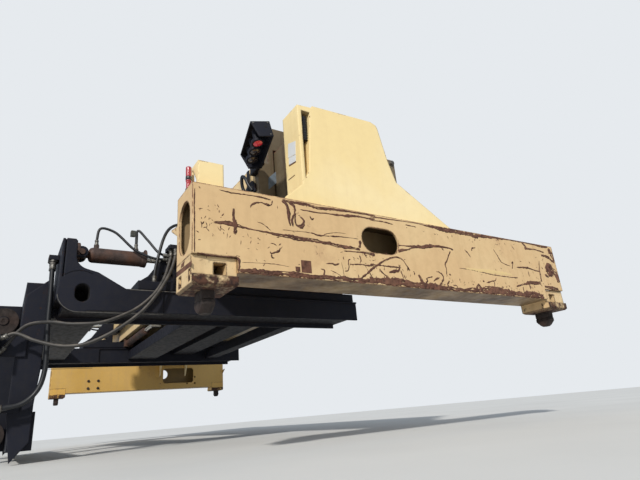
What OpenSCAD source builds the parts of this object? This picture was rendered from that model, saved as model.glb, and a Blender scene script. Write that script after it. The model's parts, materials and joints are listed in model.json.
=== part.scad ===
// Telescopic container spreader with its lifting arms and lift carriage.
// Millimetres. X runs along the container, Y runs forward from the mast, Z is up.
// The origin lies on the carriage's mast face, level with the tips of the four locks.

/* [Container corners] */
// Distance between lock centres along the container, closed up
lock_pitch_x = 5853; // [5700:1:6000]
// Distance between lock centres across the container
lock_pitch_y = 2259; // [2180:1:2300]
// Mast face to the spreader's centre line
centre_y = 1725; // [1690:1:1760]

/* [End beams] */
// Lock centre to the end of the beam
beam_end = 89.5; // [80:0.5:100]
// Width of an end beam along the container
beam_w = 195; // [180:1:215]
// Height of an end beam
beam_h = 367; // [340:1:400]
// Underside of an end beam above the lock tips
beam_z = 145; // [135:1:155]
// Plate thickness of an end beam
beam_wall = 12; // [8:1:18]
// Lock centre to the outer face of the beam
beam_out = 113; // [105:1:120]
// Width of the oval hole in the outer face
face_hole_w = 233; // [180:1:260]
// Height of the oval hole in the outer face
face_hole_h = 133; // [100:1:150]
// Oval hole's centre to the middle of the beam
face_hole_y = -270; // [-330:1:-240]
// Underside of the beam to the oval hole's centre
face_hole_z = 227; // [200:1:250]
// Width of the upright hole in a beam's end plate
end_hole_w = 140; // [110:1:150]
// Height of the upright hole in a beam's end plate
end_hole_h = 226; // [180:1:240]
// Underside of the beam to the upright hole's centre
end_hole_z = 200; // [180:1:215]
// Middle of the beam to the middle of the four bolt holes in its inner face
bolt_y = -697; // [-760:1:-620]
// Underside of the beam to the middle of the bolt holes
bolt_z = 112; // [95:1:130]
// Distance between the bolt holes across the container
bolt_pitch_y = 121; // [100:1:140]
// Distance between the bolt holes upwards
bolt_pitch_z = 94; // [80:1:110]
// Diameter of the bolt holes
bolt_hole_d = 26; // [20:1:32]
// Length of the service opening in the inner face
service_w = 460; // [380:1:500]
// Height of the service opening in the inner face
service_h = 215; // [160:1:240]
// Underside of the beam to the middle of the service opening
service_z = 187; // [165:1:200]
// Reach of the tab with a hole at one end of the beam
tab_l = 85; // [60:1:100]
// Thickness of the tab
tab_t = 10; // [8:1:16]

/* [Corner housings] */
// Seat face of a corner housing above the lock tips
seat_z = 87; // [80:1:95]
// Height of a corner housing
corner_h = 122; // [110:1:135]
// Length of a corner housing across the container
corner_len = 189; // [170:1:200]
// Thickness of the housing's foot slab
corner_foot = 42; // [34:1:50]
// Depth of the housing's recessed upper band
corner_recess = 14; // [8:1:22]
// Bevel along the lower edges of the foot slab
corner_bevel = 9; // [4:1:14]
// Width of the housing's inner chamber
chamber_w = 112; // [104:1:118]
// Width of the sight window in the outer face
window_w = 52; // [40:1:58]
// Height of the sight window in the outer face
window_h = 48; // [38:1:52]
// Lock centre to the middle of the sight window
window_y = 27; // [20:1:30]

/* [Locks] */
// Length of a lock head
lock_head_l = 104; // [98:1:108]
// Width of a lock head
lock_head_w = 54; // [50:1:58]
// Height of a lock head
lock_head_h = 50; // [44:1:54]
// Diameter of a lock's neck
lock_neck_d = 38; // [32:1:44]
// Diameter of a lock's shaft in its housing
lock_shaft_d = 62; // [54:1:70]
// Running clearance round a lock's shaft
lock_gap = 0.5; // [0.3:0.1:1]
// Reach of the lever on a lock's shaft
lever_r = 46; // [40:1:50]

/* [Telescopic tubes] */
// Width of a telescopic tube
tube_w = 480; // [440:1:500]
// Height of a telescopic tube
tube_h = 365; // [340:1:385]
// Centre line of each tube from the middle of the spreader
tube_off = 410; // [400:1:420]
// Wall of a telescopic tube
tube_wall = 14; // [10:1:20]

/* [Main frame] */
// Gap round a telescopic tube in its sleeve
slide_gap = 10; // [8:1:14]
// Wall of a sleeve
sleeve_wall = 15; // [10:1:18]
// Middle of the spreader to a sleeve's mouth
mouth_x = 2700; // [2650:1:2740]
// Middle of the spreader to a sleeve's closed end
tail_x = 2280; // [2200:1:2300]
// Thickness of the plate round a sleeve's mouth
collar_t = 40; // [25:1:60]
// How far the mouth plate stands above its sleeve
collar_rise = 125; // [100:1:140]
// Height of the box behind a mouth plate
chain_box_h = 255; // [220:1:300]
// Height of the side rails
rail_h = 180; // [150:1:200]
// Depth of the side rails
rail_d = 80; // [70:1:90]
// Top of the side rails above the lock tips
rail_top = 885; // [870:1:900]
// Number of ribs between the sleeves
rib_count = 8; // [4:1:12]

/* [Towers] */
// Thickness of a tower along the container
tower_t = 150; // [130:1:165]
// How far a tower's face stands back from the beam's face
tower_back = 10; // [5:1:20]
// How far a tower stands above its tube
tower_rise = 118; // [95:1:135]
// Depth of the upright slot beside a tower's column
slot_depth = 95; // [60:1:110]
// Length of the knee gussets under a tube
knee_l = 125; // [100:1:135]
// Thickness of the knee gussets
knee_t = 16; // [12:1:20]

/* [Guard and lamps] */
// Width of the guard's plate across the container
guard_w = 112; // [90:1:130]
// Height of the guard above the beam
guard_h = 127; // [110:1:140]
// Depth of the guard's side frame along the container
guard_d = 84; // [70:1:92]
// End of the beam to the guard's side frame
guard_in = 37; // [30:1:45]
// Plate thickness of the guard
guard_t = 9; // [6:1:12]
// Diameter of the beacon's lens
beacon_d = 24; // [20:1:30]
// Height of the beacon
beacon_h = 114; // [100:1:124]
// End of the beam to the middle of the beacon
beacon_in = 13; // [12:0.5:16]
// Guard's face to the middle of the beacon
beacon_back = 50; // [40:1:70]
// Length of the lamp hood
hood_l = 256; // [220:1:280]
// Depth of the lamp hood from front to back
hood_d = 94; // [80:1:110]
// Height of the lamp hood
hood_h = 90; // [76:1:100]
// Sheet thickness of the lamp hood
hood_t = 5; // [3:1:8]
// Distance between the lamps in the hood
lamp_pitch = 65; // [56:1:68]
// End of the hood to the middle of the first lamp
lamp_in = 66; // [55:1:70]
// Diameter of a lamp
lamp_d = 50; // [40:1:58]

/* [Arms] */
// Middle of the spreader to an arm's outer face
arm_out = 1479; // [1450:1:1500]
// Width of an arm
arm_w = 412; // [380:1:430]
// Underside of an arm above the lock tips
arm_z = 353; // [345:1:360]
// Height of an arm
arm_h = 124; // [115:1:135]
// How far an arm's sides stand back in front of its root plates
arm_recess = 12; // [6:1:18]
// Mast face to the front end of the arms
arm_front = 2466; // [2420:1:2500]
// Thickness of the arm's side plates at the root
cheek_t = 30; // [20:1:40]
// Radius of the rounded root of an arm
root_r = 112; // [100:1:118]
// Centre of the root eye from the mast face
root_y = 300; // [290:1:310]
// Centre of the root eye above the lock tips
root_z = 436; // [430:1:442]
// Radius of the hollow curve between the ear and the arm
ear_r = 87; // [70:1:100]
// Width of the oval hole in the root
eye_w = 88; // [60:1:100]
// Height of the oval hole in the root
eye_h = 119; // [90:1:130]

/* [Tie beams] */
// Depth of the rear tie beam from front to back
tie_rear_d = 290; // [240:1:300]
// Depth of the front tie beam from front to back
tie_front_d = 120; // [90:1:140]
// Spreader's middle line to the rear edge of the rear tie beam
tie_rear_back = 600; // [580:1:620]
// Spreader's middle line to the rear edge of the front tie beam
tie_front_out = 300; // [280:1:320]
// Height of the tie beams
tie_h = 95; // [80:1:105]

/* [Carriage] */
// Depth of the carriage's side plates
carriage_d = 150; // [140:1:158]
// Thickness of the carriage's side plates
carriage_t = 40; // [30:1:50]
// Middle of the spreader to the outside of the side plates
carriage_out = 1200; // [1150:1:1230]
// Top of the carriage above the lock tips
carriage_top = 587; // [570:1:600]
// Bottom of the carriage below the lock tips
carriage_low = -524; // [-540:1:-500]
// Height of the carriage's cross beams
carriage_beam_h = 220; // [180:1:240]

/* [Mast rollers] */
// Diameter of a mast roller
roller_d = 190; // [170:1:210]
// Width of a mast roller
roller_w = 70; // [55:1:80]
// Middle of the carriage to the middle of a roller
roller_x = 520; // [480:1:560]
// Height of the upper rollers above the lock tips
roller_high = 430; // [400:1:440]
// Height of the lower rollers above the lock tips
roller_low = -360; // [-390:1:-330]
// Diameter of a roller's stub axle
stub_d = 70; // [60:1:80]
// Running clearance of a roller on its stub
roller_gap = 0.5; // [0.3:0.1:1]

/* [Reach cylinders] */
// Outside diameter of a barrel
barrel_d = 106; // [96:1:116]
// Diameter of a rod
rod_d = 40; // [34:1:50]
// Height of the cylinders above the lock tips
barrel_z = 757; // [752:1:762]
// Mast face to the pin that holds a barrel
barrel_pin_y = 310; // [305:1:315]
// Gap that a drawn-in rod leaves between its eye and its barrel
eye_gap = 30; // [20:1:45]
// Barrel's pin to its rear port
port_rear = 93; // [85:1:110]
// Barrel's open end to its front port
port_front = 70; // [55:1:90]
// Saddle's front plate back to the pin that holds a rod
rod_pin_back = 60; // [52:1:70]
// Diameter of the cylinders' pins
pin_d = 40; // [32:1:44]
// Travel of the saddle each way
reach_travel = 100; // [60:1:110]

/* [Saddle] */
// Thickness of a shoe on an arm
shoe_t = 63; // [56:1:70]
// Thickness of the wear pads under a shoe
pad_t = 12; // [8:1:14]
// Thickness of the slide pads between a shoe and the main frame
side_pad_t = 23; // [18:1:28]
// Travel of the main frame along the container each way
shift_travel = 300; // [200:1:350]
// Thickness of a shoe's upright plates
bracket_t = 30; // [20:1:40]
// Depth of the saddle's cross tube from front to back
cross_d = 240; // [200:1:260]
// Gap between the saddle and the rail that it guides
guide_gap = 5; // [4:1:8]
// Length of a wear pad along the arm
pad_l = 180; // [140:1:220]
// Width of a wear pad
pad_w = 300; // [260:1:320]

/* [Side shift cylinder] */
// Diameter of the side shift cylinder's barrel
shift_barrel_d = 70; // [60:1:80]
// Length of the side shift cylinder's barrel
shift_barrel_l = 780; // [700:1:800]
// Diameter of the side shift cylinder's rod
shift_rod_d = 40; // [32:1:46]
// Spreader's middle line to the side shift cylinder
shift_back = 620; // [580:1:640]

/* [Hoses] */
// Diameter of the cylinders' hoses
hose_d = 18; // [14:1:20]
// Diameter of the supply hoses
supply_d = 22; // [18:1:24]
// Diameter of the riser hoses
riser_hose_d = 28; // [22:1:30]

/* [Hidden] */
// Gap at which a sliding pad or a held piece lies from what it bears on
seat_gap = 0.3;

// Places along the container, all worked out for the right-hand end
lock_x = lock_pitch_x / 2;
lock_y = lock_pitch_y / 2;
beam_len = lock_pitch_y + 2 * beam_end;
beam_x1 = lock_x + beam_out;
beam_x0 = beam_x1 - beam_w;
beam_top = beam_z + beam_h;
corner_top = seat_z + corner_h;
chamber_z = seat_z + corner_foot + 5;
tower_x1 = beam_x1 - tower_back;
tower_x0 = tower_x1 - tower_t;
guard_x = beam_x1 - 40;

arm_top = arm_z + arm_h;
arm_in = arm_out - arm_w;
arm_mid = arm_out - arm_w / 2;
cheek_lip = 30;
cheek_r = root_r + 14;
cheek_front = root_y + 520;
// Where the root plate's top turns from its shallow slope to the steep one, and where that ends
step_y = root_y + 100;
step_z = arm_top + 99;
shallow = 0.26;
slope_y = root_y + 274;
ear_front = root_y - 34;
ear_back = root_y - 97;
ear_top = barrel_z + 33;
wall_y = root_y - 119;
groove_y = ear_back - 8;
groove_z = arm_top + 56;
groove_d = 14;
barrel_x = arm_mid;
lug_t = 30;

// The sleeve goes round its tube with the sliding gap
sleeve_w = tube_w + 2 * (slide_gap + sleeve_wall);
sleeve_h = tube_h + 2 * (slide_gap + sleeve_wall);
shoe_z = arm_top + pad_t;
shoe_top = shoe_z + shoe_t;
sleeve_z = shoe_top + side_pad_t;
tube_z = sleeve_z + slide_gap + sleeve_wall;
tube_top = tube_z + tube_h;
tower_top = tube_top + tower_rise;
sleeve_top = sleeve_z + sleeve_h;
sleeve_out = tube_off + sleeve_w / 2;
sleeve_in = tube_off - sleeve_w / 2;
collar_in = sleeve_in + 90;
rail_z = rail_top - rail_h;
rail_face = sleeve_out + rail_d;
tube_tail = tail_x - 60;
pad_run = tube_w / 2 - 30;
side_pad_l = pad_l + 20;

// The saddle's shoes, brackets and the plates that hold the rods' pins
shoe_in = arm_in + cheek_t + 8;
shoe_out = arm_out - cheek_t - 8;
shoe_rear = centre_y - rail_face - 312;
shoe_front = arm_front - 6;
bracket_face = centre_y - rail_face - guide_gap;
plate_front_t = 16;
bracket_half = 92;
rod_pin_y = bracket_face - rod_pin_back;
rod_eye_r = pin_d / 2 + 18;
barrel_front = rod_pin_y - rod_eye_r - reach_travel - eye_gap;
block_x = barrel_x + bracket_half;
block_size = [65, 80, 70];
block_y = bracket_face - 95;
block_z = barrel_z - 37;
// Ledge at the block's top, under which the supply hoses end
ledge_size = [122, 80, 30];
ledge_y = block_y - 18;
ledge_z = block_z + block_size[2];

tie_rear_y = centre_y - tie_rear_back;
tie_front_y = centre_y + tie_front_out;

roller_y = 10 - roller_d / 2;
shift_y = centre_y - shift_back;
shift_z = sleeve_z - 50;
shift_x = 125 - shoe_in;
clamp_y = -90;
port_z = barrel_z + barrel_d / 2 + 20;
bore_start = 92;
riser_top = 690;
lamp_h = 28;
hood_at = [mouth_x + 181, -sleeve_out - 175, rail_top - 29];
hood_turn = [9.2, -7.7, -12.6];

// Hoses, each as points along its middle line: x, y, z
rear_port_hose = [
    [barrel_x, barrel_pin_y + port_rear, port_z], [barrel_x, barrel_pin_y + port_rear, port_z + 50],
    [1278, 420, 958], [1296, 505, 940], [1344, 650, 798], [1374, 770, 742],
    [block_x + 23, block_y - 28, block_z + 15], [block_x + 23, block_y - seat_gap, block_z + 15]
];
front_port_hose = [
    [barrel_x, barrel_front - port_front, port_z],
    [barrel_x, barrel_front - port_front, port_z + 50], [1284, 672, 974], [1316, 735, 898],
    [1362, 810, 790], [block_x + 23, block_y - 22, block_z + 46],
    [block_x + 23, block_y - seat_gap, block_z + 46]
];
supply_hose_a = [
    [carriage_out + 50, clamp_y + seat_gap, 105], [carriage_out + 50, clamp_y + 14, 105],
    [1268, -5, 212], [1300, 45, 256], [1395, 150, 262], [arm_out - 1, 275, 237],
    [arm_out + 43, 425, 240], [arm_out + 51, 505, 266], [arm_out + 43, 630, 332],
    [arm_out + 39, 700, 390], [arm_out + 31, 765, 466], [arm_out + 1, 823, 575],
    [arm_out - 23, 850, 655],
    [block_x + 81, block_y + 2, ledge_z - 50], [block_x + 81, block_y + 2, ledge_z - seat_gap]
];
supply_hose_b = [
    [carriage_out + 85, clamp_y + seat_gap, 182], [carriage_out + 85, clamp_y + 14, 182],
    [1300, -15, 206], [1362, 85, 158], [1440, 210, 112], [arm_out - 7, 285, 104],
    [arm_out + 21, 365, 116], [arm_out + 59, 495, 178], [arm_out + 77, 660, 308],
    [arm_out + 61, 766, 444], [arm_out + 33, 832, 560], [arm_out + 5, 872, 648],
    [block_x + 105, block_y + 26, ledge_z - 50], [block_x + 105, block_y + 26, ledge_z - seat_gap]
];
riser_hose = [
    [0, 150, riser_top - seat_gap], [0, 150, 620], [0, 155, 460], [0, 157, 300], [0, 165, 140],
    [0, 168, -20], [0, 140, -130], [0, 72, -200], [0, -20, -220], [0, clamp_y + seat_gap, -220]
];
frame_hose_route = [
    [arm_mid + 137, bracket_face - 195, shoe_top + seat_gap],
    [arm_mid + 137, bracket_face - 195, shoe_top + 48],
    [arm_mid + 137, bracket_face - 185, shoe_top + 128],
    [arm_mid + 134, bracket_face - 165, rail_top - 110],
    [arm_mid + 127, bracket_face - 139, rail_top - 5],
    [arm_mid + 113, bracket_face - 109, rail_top + 67],
    [arm_mid + 95, bracket_face - 73, rail_top + 115],
    [arm_mid + 69, bracket_face - 20, sleeve_top + 46],
    [arm_mid + 45, bracket_face + 45, sleeve_top + 58],
    [arm_mid + 30, bracket_face + 120, sleeve_top + 52],
    [arm_mid + 30, bracket_face + 150, sleeve_top + 30],
    [arm_mid + 30, bracket_face + 150, sleeve_top + seat_gap]
];
// Middle of the two riser hoses, x
riser_hose_x = [1245, 1287];

// What is made twice is laid out at the right-hand end and put half a turn round for the other
module half_turn(side) {
    rotate([0, 0, side > 0 ? 0 : 180]) children();
}

// Everything that the saddle carries is laid out from the middle of the spreader
module at_centre() {
    translate([0, centre_y, 0]) children();
}

// An outline in Y and Z drawn out along X from x0 to x1
module along_x(x0, x1) {
    translate([x0, 0, 0]) rotate([90, 0, 90]) linear_extrude(x1 - x0) children();
}

// An outline in X and Z drawn out along Y from y0 to y1
module along_y(y0, y1) {
    translate([0, y1, 0]) rotate([90, 0, 0]) linear_extrude(y1 - y0) children();
}

// An outline with round ends, w by h, the longer way up or across
module oblong(w, h) {
    r = min(w, h) / 2;
    union() {
        square([w - (w > h ? 2 * r : 0), h - (h > w ? 2 * r : 0)], center = true);
        for (s = [-1, 1]) translate([s * (w / 2 - r), s * (h / 2 - r)]) circle(r, $fn = 48);
    }
}

// A rectangle with rounded corners, w by h
module rounded(w, h, r) {
    union() {
        square([w - 2 * r, h], center = true);
        square([w, h - 2 * r], center = true);
        for (u = [-1, 1]) for (v = [-1, 1])
            translate([u * (w / 2 - r), v * (h / 2 - r)]) circle(r, $fn = 32);
    }
}

module box(lo, hi) {
    translate(lo) cube(hi - lo);
}

// A square tube along X, open at both ends
module box_tube(x0, x1, y, w, z, h, wall) {
    difference() {
        box([x0, y - w / 2, z], [x1, y + w / 2, z + h]);
        box([x0 - 1, y - w / 2 + wall, z + wall], [x1 + 1, y + w / 2 - wall, z + h - wall]);
    }
}

// Ring of a hose: eight points round p, square to the way that the hose runs there
function unit(v) = v / norm(v);
function run_at(p, i) = unit(p[min(i + 1, len(p) - 1)] - p[max(i - 1, 0)]);
function ring(p, way, r) =
    let (side = unit(cross(way, abs(way[0]) > 0.9 ? [0, 0, 1] : [1, 0, 0])), up = cross(way, side))
    [for (k = [0:7]) p + r * (cos(45 * k) * side + sin(45 * k) * up)];

// Hose swept along its points, with flat ends
module hose(points, d) {
    n = len(points);
    polyhedron(
        points = [for (i = [0:n - 1]) each ring(points[i], run_at(points, i), d / 2)],
        faces = concat(
            [[for (k = [0:7]) k]],
            [for (i = [0:n - 2]) for (k = [0:7])
                [8 * i + k, 8 * i + 8 + k, 8 * i + 8 + (k + 1) % 8, 8 * i + (k + 1) % 8]],
            [[for (k = [7:-1:0]) 8 * (n - 1) + k]]
        )
    );
}

module end_beam() {
    union() {
        beam_girder();
        beam_tab();
    }
}

// Closed box girder, its lower corners cut away for the housings
module beam_girder() {
    wall_in = beam_x0 + beam_wall + 1;
    difference() {
        box([beam_x0, -beam_len / 2, beam_z], [beam_x1, beam_len / 2, beam_top]);
        box([beam_x0 + beam_wall, -beam_len / 2 + beam_wall, beam_z + beam_wall],
            [beam_x1 - beam_wall, beam_len / 2 - beam_wall, beam_top - beam_wall]);
        for (s = [-1, 1]) translate([0, s * lock_y, 0])
            box([beam_x0 - 1, corner_from(s) - (s < 0 ? 1 : 0), beam_z - 1],
                [beam_x1 + 1, corner_from(s) + corner_len + (s < 0 ? 0 : 1), corner_top]);
        along_x(beam_x1 - beam_wall - 1, beam_x1 + 1)
            translate([face_hole_y, beam_z + face_hole_z]) oblong(face_hole_w, face_hole_h);
        along_y(-beam_len / 2 - 1, beam_len / 2 + 1)
            translate([(beam_x0 + beam_x1) / 2, beam_z + end_hole_z]) oblong(end_hole_w, end_hole_h);
        for (u = [-1, 1]) for (v = [-1, 1]) along_x(beam_x0 - 1, wall_in)
            translate([bolt_y + u * bolt_pitch_y / 2, beam_z + bolt_z + v * bolt_pitch_z / 2])
                circle(d = bolt_hole_d, $fn = 32);
        along_x(beam_x0 - 1, wall_in)
            translate([-tube_off - 90, beam_z + service_z]) rounded(service_w, service_h, 40);
    }
}

// Tab with a hole, which stands out from the back of the beam at its rear end
module beam_tab() {
    z = beam_z + end_hole_z + 45;
    along_y(-beam_len / 2, -beam_len / 2 + tab_t) difference() {
        polygon([
            [beam_x0 + 1, z], [beam_x0 - tab_l, z + 14], [beam_x0 - tab_l, z + 6], [beam_x0 + 1, z - 45]
        ]);
        translate([beam_x0 - tab_l * 0.27, z - 10]) circle(d = 11, $fn = 32);
    }
}

// Where a housing starts across the container, from its lock: out is the way to the beam's end
function corner_from(out) = out > 0 ? beam_end - corner_len : -beam_end;

// Corner housing for one lock: a foot with bevelled edges, a chamber with a sight window, slots at its end
module corner(out) {
    x0 = beam_x0 - lock_x;
    x1 = beam_out;
    y0 = corner_from(out);
    y1 = y0 + corner_len;
    foot_top = seat_z + corner_foot;
    difference() {
        union() {
            intersection() {
                along_x(x0, x1) bevelled(y0, y1, seat_z, foot_top, corner_bevel);
                along_y(y0, y1) bevelled(x0, x1, seat_z, foot_top, corner_bevel);
            }
            box([x0, y0, foot_top - 1], [x1 - corner_recess, y1, corner_top]);
        }
        translate([0, 0, seat_z - 1]) cylinder(r = lock_shaft_d / 2 + lock_gap, h = corner_h + 2, $fn = 64);
        box([-chamber_w / 2, -chamber_w / 2, chamber_z], [chamber_w / 2, chamber_w / 2, corner_top - 12]);
        box([0, -out * window_y - window_w / 2, chamber_z + 1],
            [x1 + 1, -out * window_y + window_w / 2, chamber_z + 1 + window_h]);
        // Slots in the end: middle and width of each
        for (slot = [[x0 + 49, 36], [x1 - 30, 20]]) translate([slot[0], out * (beam_end - 10), foot_top + 1])
            cube([slot[1], 24, 46], center = true);
        along_y(min(0, out * (beam_end + 1)), max(0, out * (beam_end + 1)))
            translate([10, corner_top - 17]) circle(d = 14, $fn = 32);
    }
}

// A slab's outline from u0 to u1 with its two lower edges bevelled
module bevelled(u0, u1, z0, z1, c) {
    polygon([[u0 + c, z0], [u1 - c, z0], [u1, z0 + c], [u1, z1], [u0, z1], [u0, z0 + c]]);
}

module corners() {
    for (s = [-1, 1]) translate([lock_x, s * lock_y, 0]) corner(s);
}

// Lock: a round head cut to the slot's width with a tapered point, its neck, shaft and lever
module lock() {
    r = lock_head_l / 2;
    union() {
        intersection() {
            rotate_extrude($fn = 96) polygon([
                [0, 0], [r * 0.42, 0], [r * 0.62, lock_head_h * 0.16], [r, lock_head_h * 0.62],
                [r, lock_head_h], [0, lock_head_h]
            ]);
            translate([-r, -lock_head_w / 2, 0]) cube([2 * r, lock_head_w, lock_head_h]);
        }
        cylinder(d = lock_neck_d, h = seat_z + 2, $fn = 48);
        translate([0, 0, seat_z + 2]) cylinder(d = lock_shaft_d, h = corner_h + 8, $fn = 64);
        translate([0, 0, chamber_z + 12]) linear_extrude(24) union() {
            translate([0, -14]) square([lever_r - 14, 28]);
            translate([lever_r - 14, 0]) circle(14, $fn = 48);
        }
        translate([0, 0, corner_top + 2]) cylinder(d = lock_shaft_d + 24, h = 22, $fn = 64);
    }
}

// Tower: the tall plated end that joins tube and beam, with a slot in its face, a foot and knee gussets
module tower() {
    rear = -tube_off - tube_w / 2;
    front = -tube_off + tube_w / 2;
    union() {
        difference() {
            along_x(tower_x0, tower_x1) polygon([
                [rear - 40, beam_top], [front + 446, beam_top], [front + 75, tower_top - 348],
                [front + 37, tower_top - 234], [front - 7, tower_top - 29], [front - 15, tower_top - 14],
                [front - 51, tower_top], [rear + 50, tower_top - 14], [rear + 42, tower_top - 27],
                [rear - 40, tower_top - 32]
            ]);
            along_x(tower_x1 - slot_depth, tower_x1 + 1)
                polygon([[rear - 18, tower_top - 58], [rear + 32, tower_top - 58],
                         [rear + 2, tower_top - 390], [rear - 22, tower_top - 440]]);
        }
        along_x(tower_x1 - knee_t, tower_x1) polygon([
            [rear - 134, beam_top], [rear - 39, beam_top], [rear - 39, beam_top + 101],
            [rear - 134, beam_top + 18]
        ]);
        for (y = [rear + 50, front - 50]) along_y(y - knee_t / 2, y + knee_t / 2) polygon([
            [beam_x0, beam_top - 190], [beam_x0, beam_top], [tower_x0 + 1, beam_top], [tower_x0 + 1, tube_z],
            [beam_x0 - knee_l, tube_z], [beam_x0 - knee_l, tube_z - 60]
        ]);
    }
}

// Guard that stands on the beam beside the beacon: a plate and a side frame with a window below its gusset
module guard() {
    y0 = -beam_len / 2 + guard_in;
    x0 = guard_x - guard_d;
    top = beam_top + guard_h;
    union() {
        box([guard_x - guard_t, y0, beam_top], [guard_x, y0 + guard_w, top]);
        along_y(y0, y0 + guard_t) difference() {
            polygon([[x0, beam_top], [guard_x - 1, beam_top], [guard_x - 1, top], [x0, top]]);
            polygon([
                [x0 + 7, beam_top + 8], [guard_x - 24, beam_top + 8], [guard_x - 24, beam_top + 46],
                [x0 + 14, top - 14], [x0 + 7, top - 20]
            ]);
        }
    }
}

// Beacon: a slim base and a taller lens with a round top
module beacon() {
    r = beacon_d / 2;
    top = beam_top + beacon_h - r * 0.6;
    dome = [for (a = [0:15:75]) [r * cos(a), top + r * 0.6 * sin(a)]];
    translate([guard_x - beacon_back, -beam_len / 2 + beacon_in, 0]) rotate_extrude($fn = 64)
        polygon(concat([[0, beam_top], [r * 0.85, beam_top], [r * 0.85, beam_top + 40], [r, beam_top + 43]],
                       dome, [[0, top + r * 0.6]]));
}

// Sleeve of the main frame, with the mouth to the right
module sleeve() {
    difference() {
        box([-tail_x, -tube_off - sleeve_w / 2, sleeve_z],
            [mouth_x - collar_t, -tube_off + sleeve_w / 2, sleeve_top]);
        box([-tail_x + sleeve_wall, -tube_off - tube_w / 2 - slide_gap, tube_z - slide_gap],
            [mouth_x, -tube_off + tube_w / 2 + slide_gap, tube_z + tube_h + slide_gap]);
    }
}

// Plate round the mouth, which reaches past the middle to the chain box
module collar() {
    difference() {
        along_x(mouth_x - collar_t, mouth_x) polygon([
            [-rail_face, rail_z], [-sleeve_out, sleeve_z], [collar_in, sleeve_z],
            [collar_in, sleeve_top + collar_rise],
            [-sleeve_out - 20, sleeve_top + collar_rise], [-sleeve_out - 20, rail_top], [-rail_face, rail_top]
        ]);
        box([mouth_x - collar_t - 1, -tube_off - tube_w / 2 - slide_gap, tube_z - slide_gap],
            [mouth_x + 1, -tube_off + tube_w / 2 + slide_gap, tube_z + tube_h + slide_gap]);
    }
}

module chain_box() {
    box([tail_x, -sleeve_in, sleeve_top + 35 - chain_box_h], [mouth_x - collar_t, collar_in, sleeve_top + 35]);
}

module rail() {
    box([-tail_x, -rail_face, rail_z], [mouth_x - collar_t, -sleeve_out, rail_top]);
}

// Top and bottom plates between the sleeves, with a row of ribs and a hole in each bay
module frame_spine() {
    bay = (2 * tail_x - sleeve_wall) / (rib_count + 1);
    difference() {
        box([-tail_x, -sleeve_in, sleeve_z], [tail_x, sleeve_in, sleeve_top]);
        for (i = [0:rib_count]) {
            x = -tail_x + sleeve_wall + i * bay;
            box([x, -sleeve_in - 1, sleeve_z + sleeve_wall],
                [x + bay - sleeve_wall, sleeve_in + 1, sleeve_top - sleeve_wall]);
            translate([x + (bay - sleeve_wall) / 2, 0, sleeve_z - 1]) linear_extrude(sleeve_h + 2)
                oblong(bay * 0.5, sleeve_in * 0.9);
        }
    }
}

// Lamp hood beside the right-hand mouth: back, top and two end panels, lamp stems, tilted, on its bar
module lamp_hood() {
    union() {
        translate(hood_at) rotate(hood_turn) difference() {
            along_x(-hood_l / 2, hood_l / 2) polygon([
                [-hood_d / 2, hood_h / 2], [hood_d / 2, hood_h / 2],
                [hood_d / 2, -hood_h / 2], [-hood_d / 4, -hood_h / 2]
            ]);
            box([-hood_l / 2 + hood_t, -hood_d, -hood_h],
                [hood_l / 2 - hood_t, hood_d / 2 - hood_t, hood_h / 2 - hood_t]);
        }
        translate(hood_at) rotate(hood_turn) for (i = [0:2]) translate(lamp_at(i))
            translate([0, 0, lamp_h + seat_gap])
                cylinder(r = lamp_d * 0.3, h = hood_h - lamp_h - 7, $fn = 32);
        box([mouth_x - collar_t + 2, -rail_face - 29, rail_top - 73],
            [mouth_x + 100, -rail_face - 13, rail_top - 33]);
        box([mouth_x - collar_t + 2, -rail_face - 14, rail_top - 73],
            [mouth_x - 2, -rail_face, rail_top - 33]);
    }
}

// Where a lamp sits in the tilted hood
function lamp_at(i) = [hood_l / 2 - lamp_in - i * lamp_pitch, -14, -hood_h / 2 + 4];

// Three lamps, each under its stem in the hood
module lamp_lenses() {
    r = lamp_d / 2;
    translate(hood_at) rotate(hood_turn) for (i = [0:2])
        translate(lamp_at(i)) rotate_extrude($fn = 64) polygon([
            [0, 0], [r * 0.55, 1.5], [r * 0.9, 6], [r, 12], [r, lamp_h - 4], [r * 0.6, lamp_h], [0, lamp_h]
        ]);
}

// Arm: a box girder with a rounded root and an ear that carries the cylinder's lugs
module arm() {
    x0 = arm_in + arm_recess;
    x1 = arm_out - arm_recess;
    difference() {
        union() {
            box([x0, wall_y + 40, arm_z], [x1, arm_front, arm_top]);
            box([arm_in, cheek_front - 1, arm_top - 12], [arm_out, arm_front, arm_top]);
            for (x = [x0, x1 - cheek_t / 2])
                box([x, cheek_front - 1, arm_z - cheek_lip], [x + cheek_t / 2, arm_front, arm_z + 1]);
            for (x = [arm_in, arm_out - cheek_t]) along_x(x, x + cheek_t) cheek();
            box([arm_in, wall_y, arm_z + 60], [arm_out, wall_y + 74, ear_top - 3]);
            for (x = [barrel_x - 60, barrel_x + 60 - lug_t]) along_x(x, x + lug_t) lug();
        }
        along_x(arm_in - 1, arm_out + 1) translate([root_y + 17, root_z]) oblong(eye_w, eye_h);
        for (x = [arm_in, arm_out - groove_d])
            box([x - 1, groove_y, groove_z], [x + groove_d + 1, ear_back, ear_top + 1]);
    }
}

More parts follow.
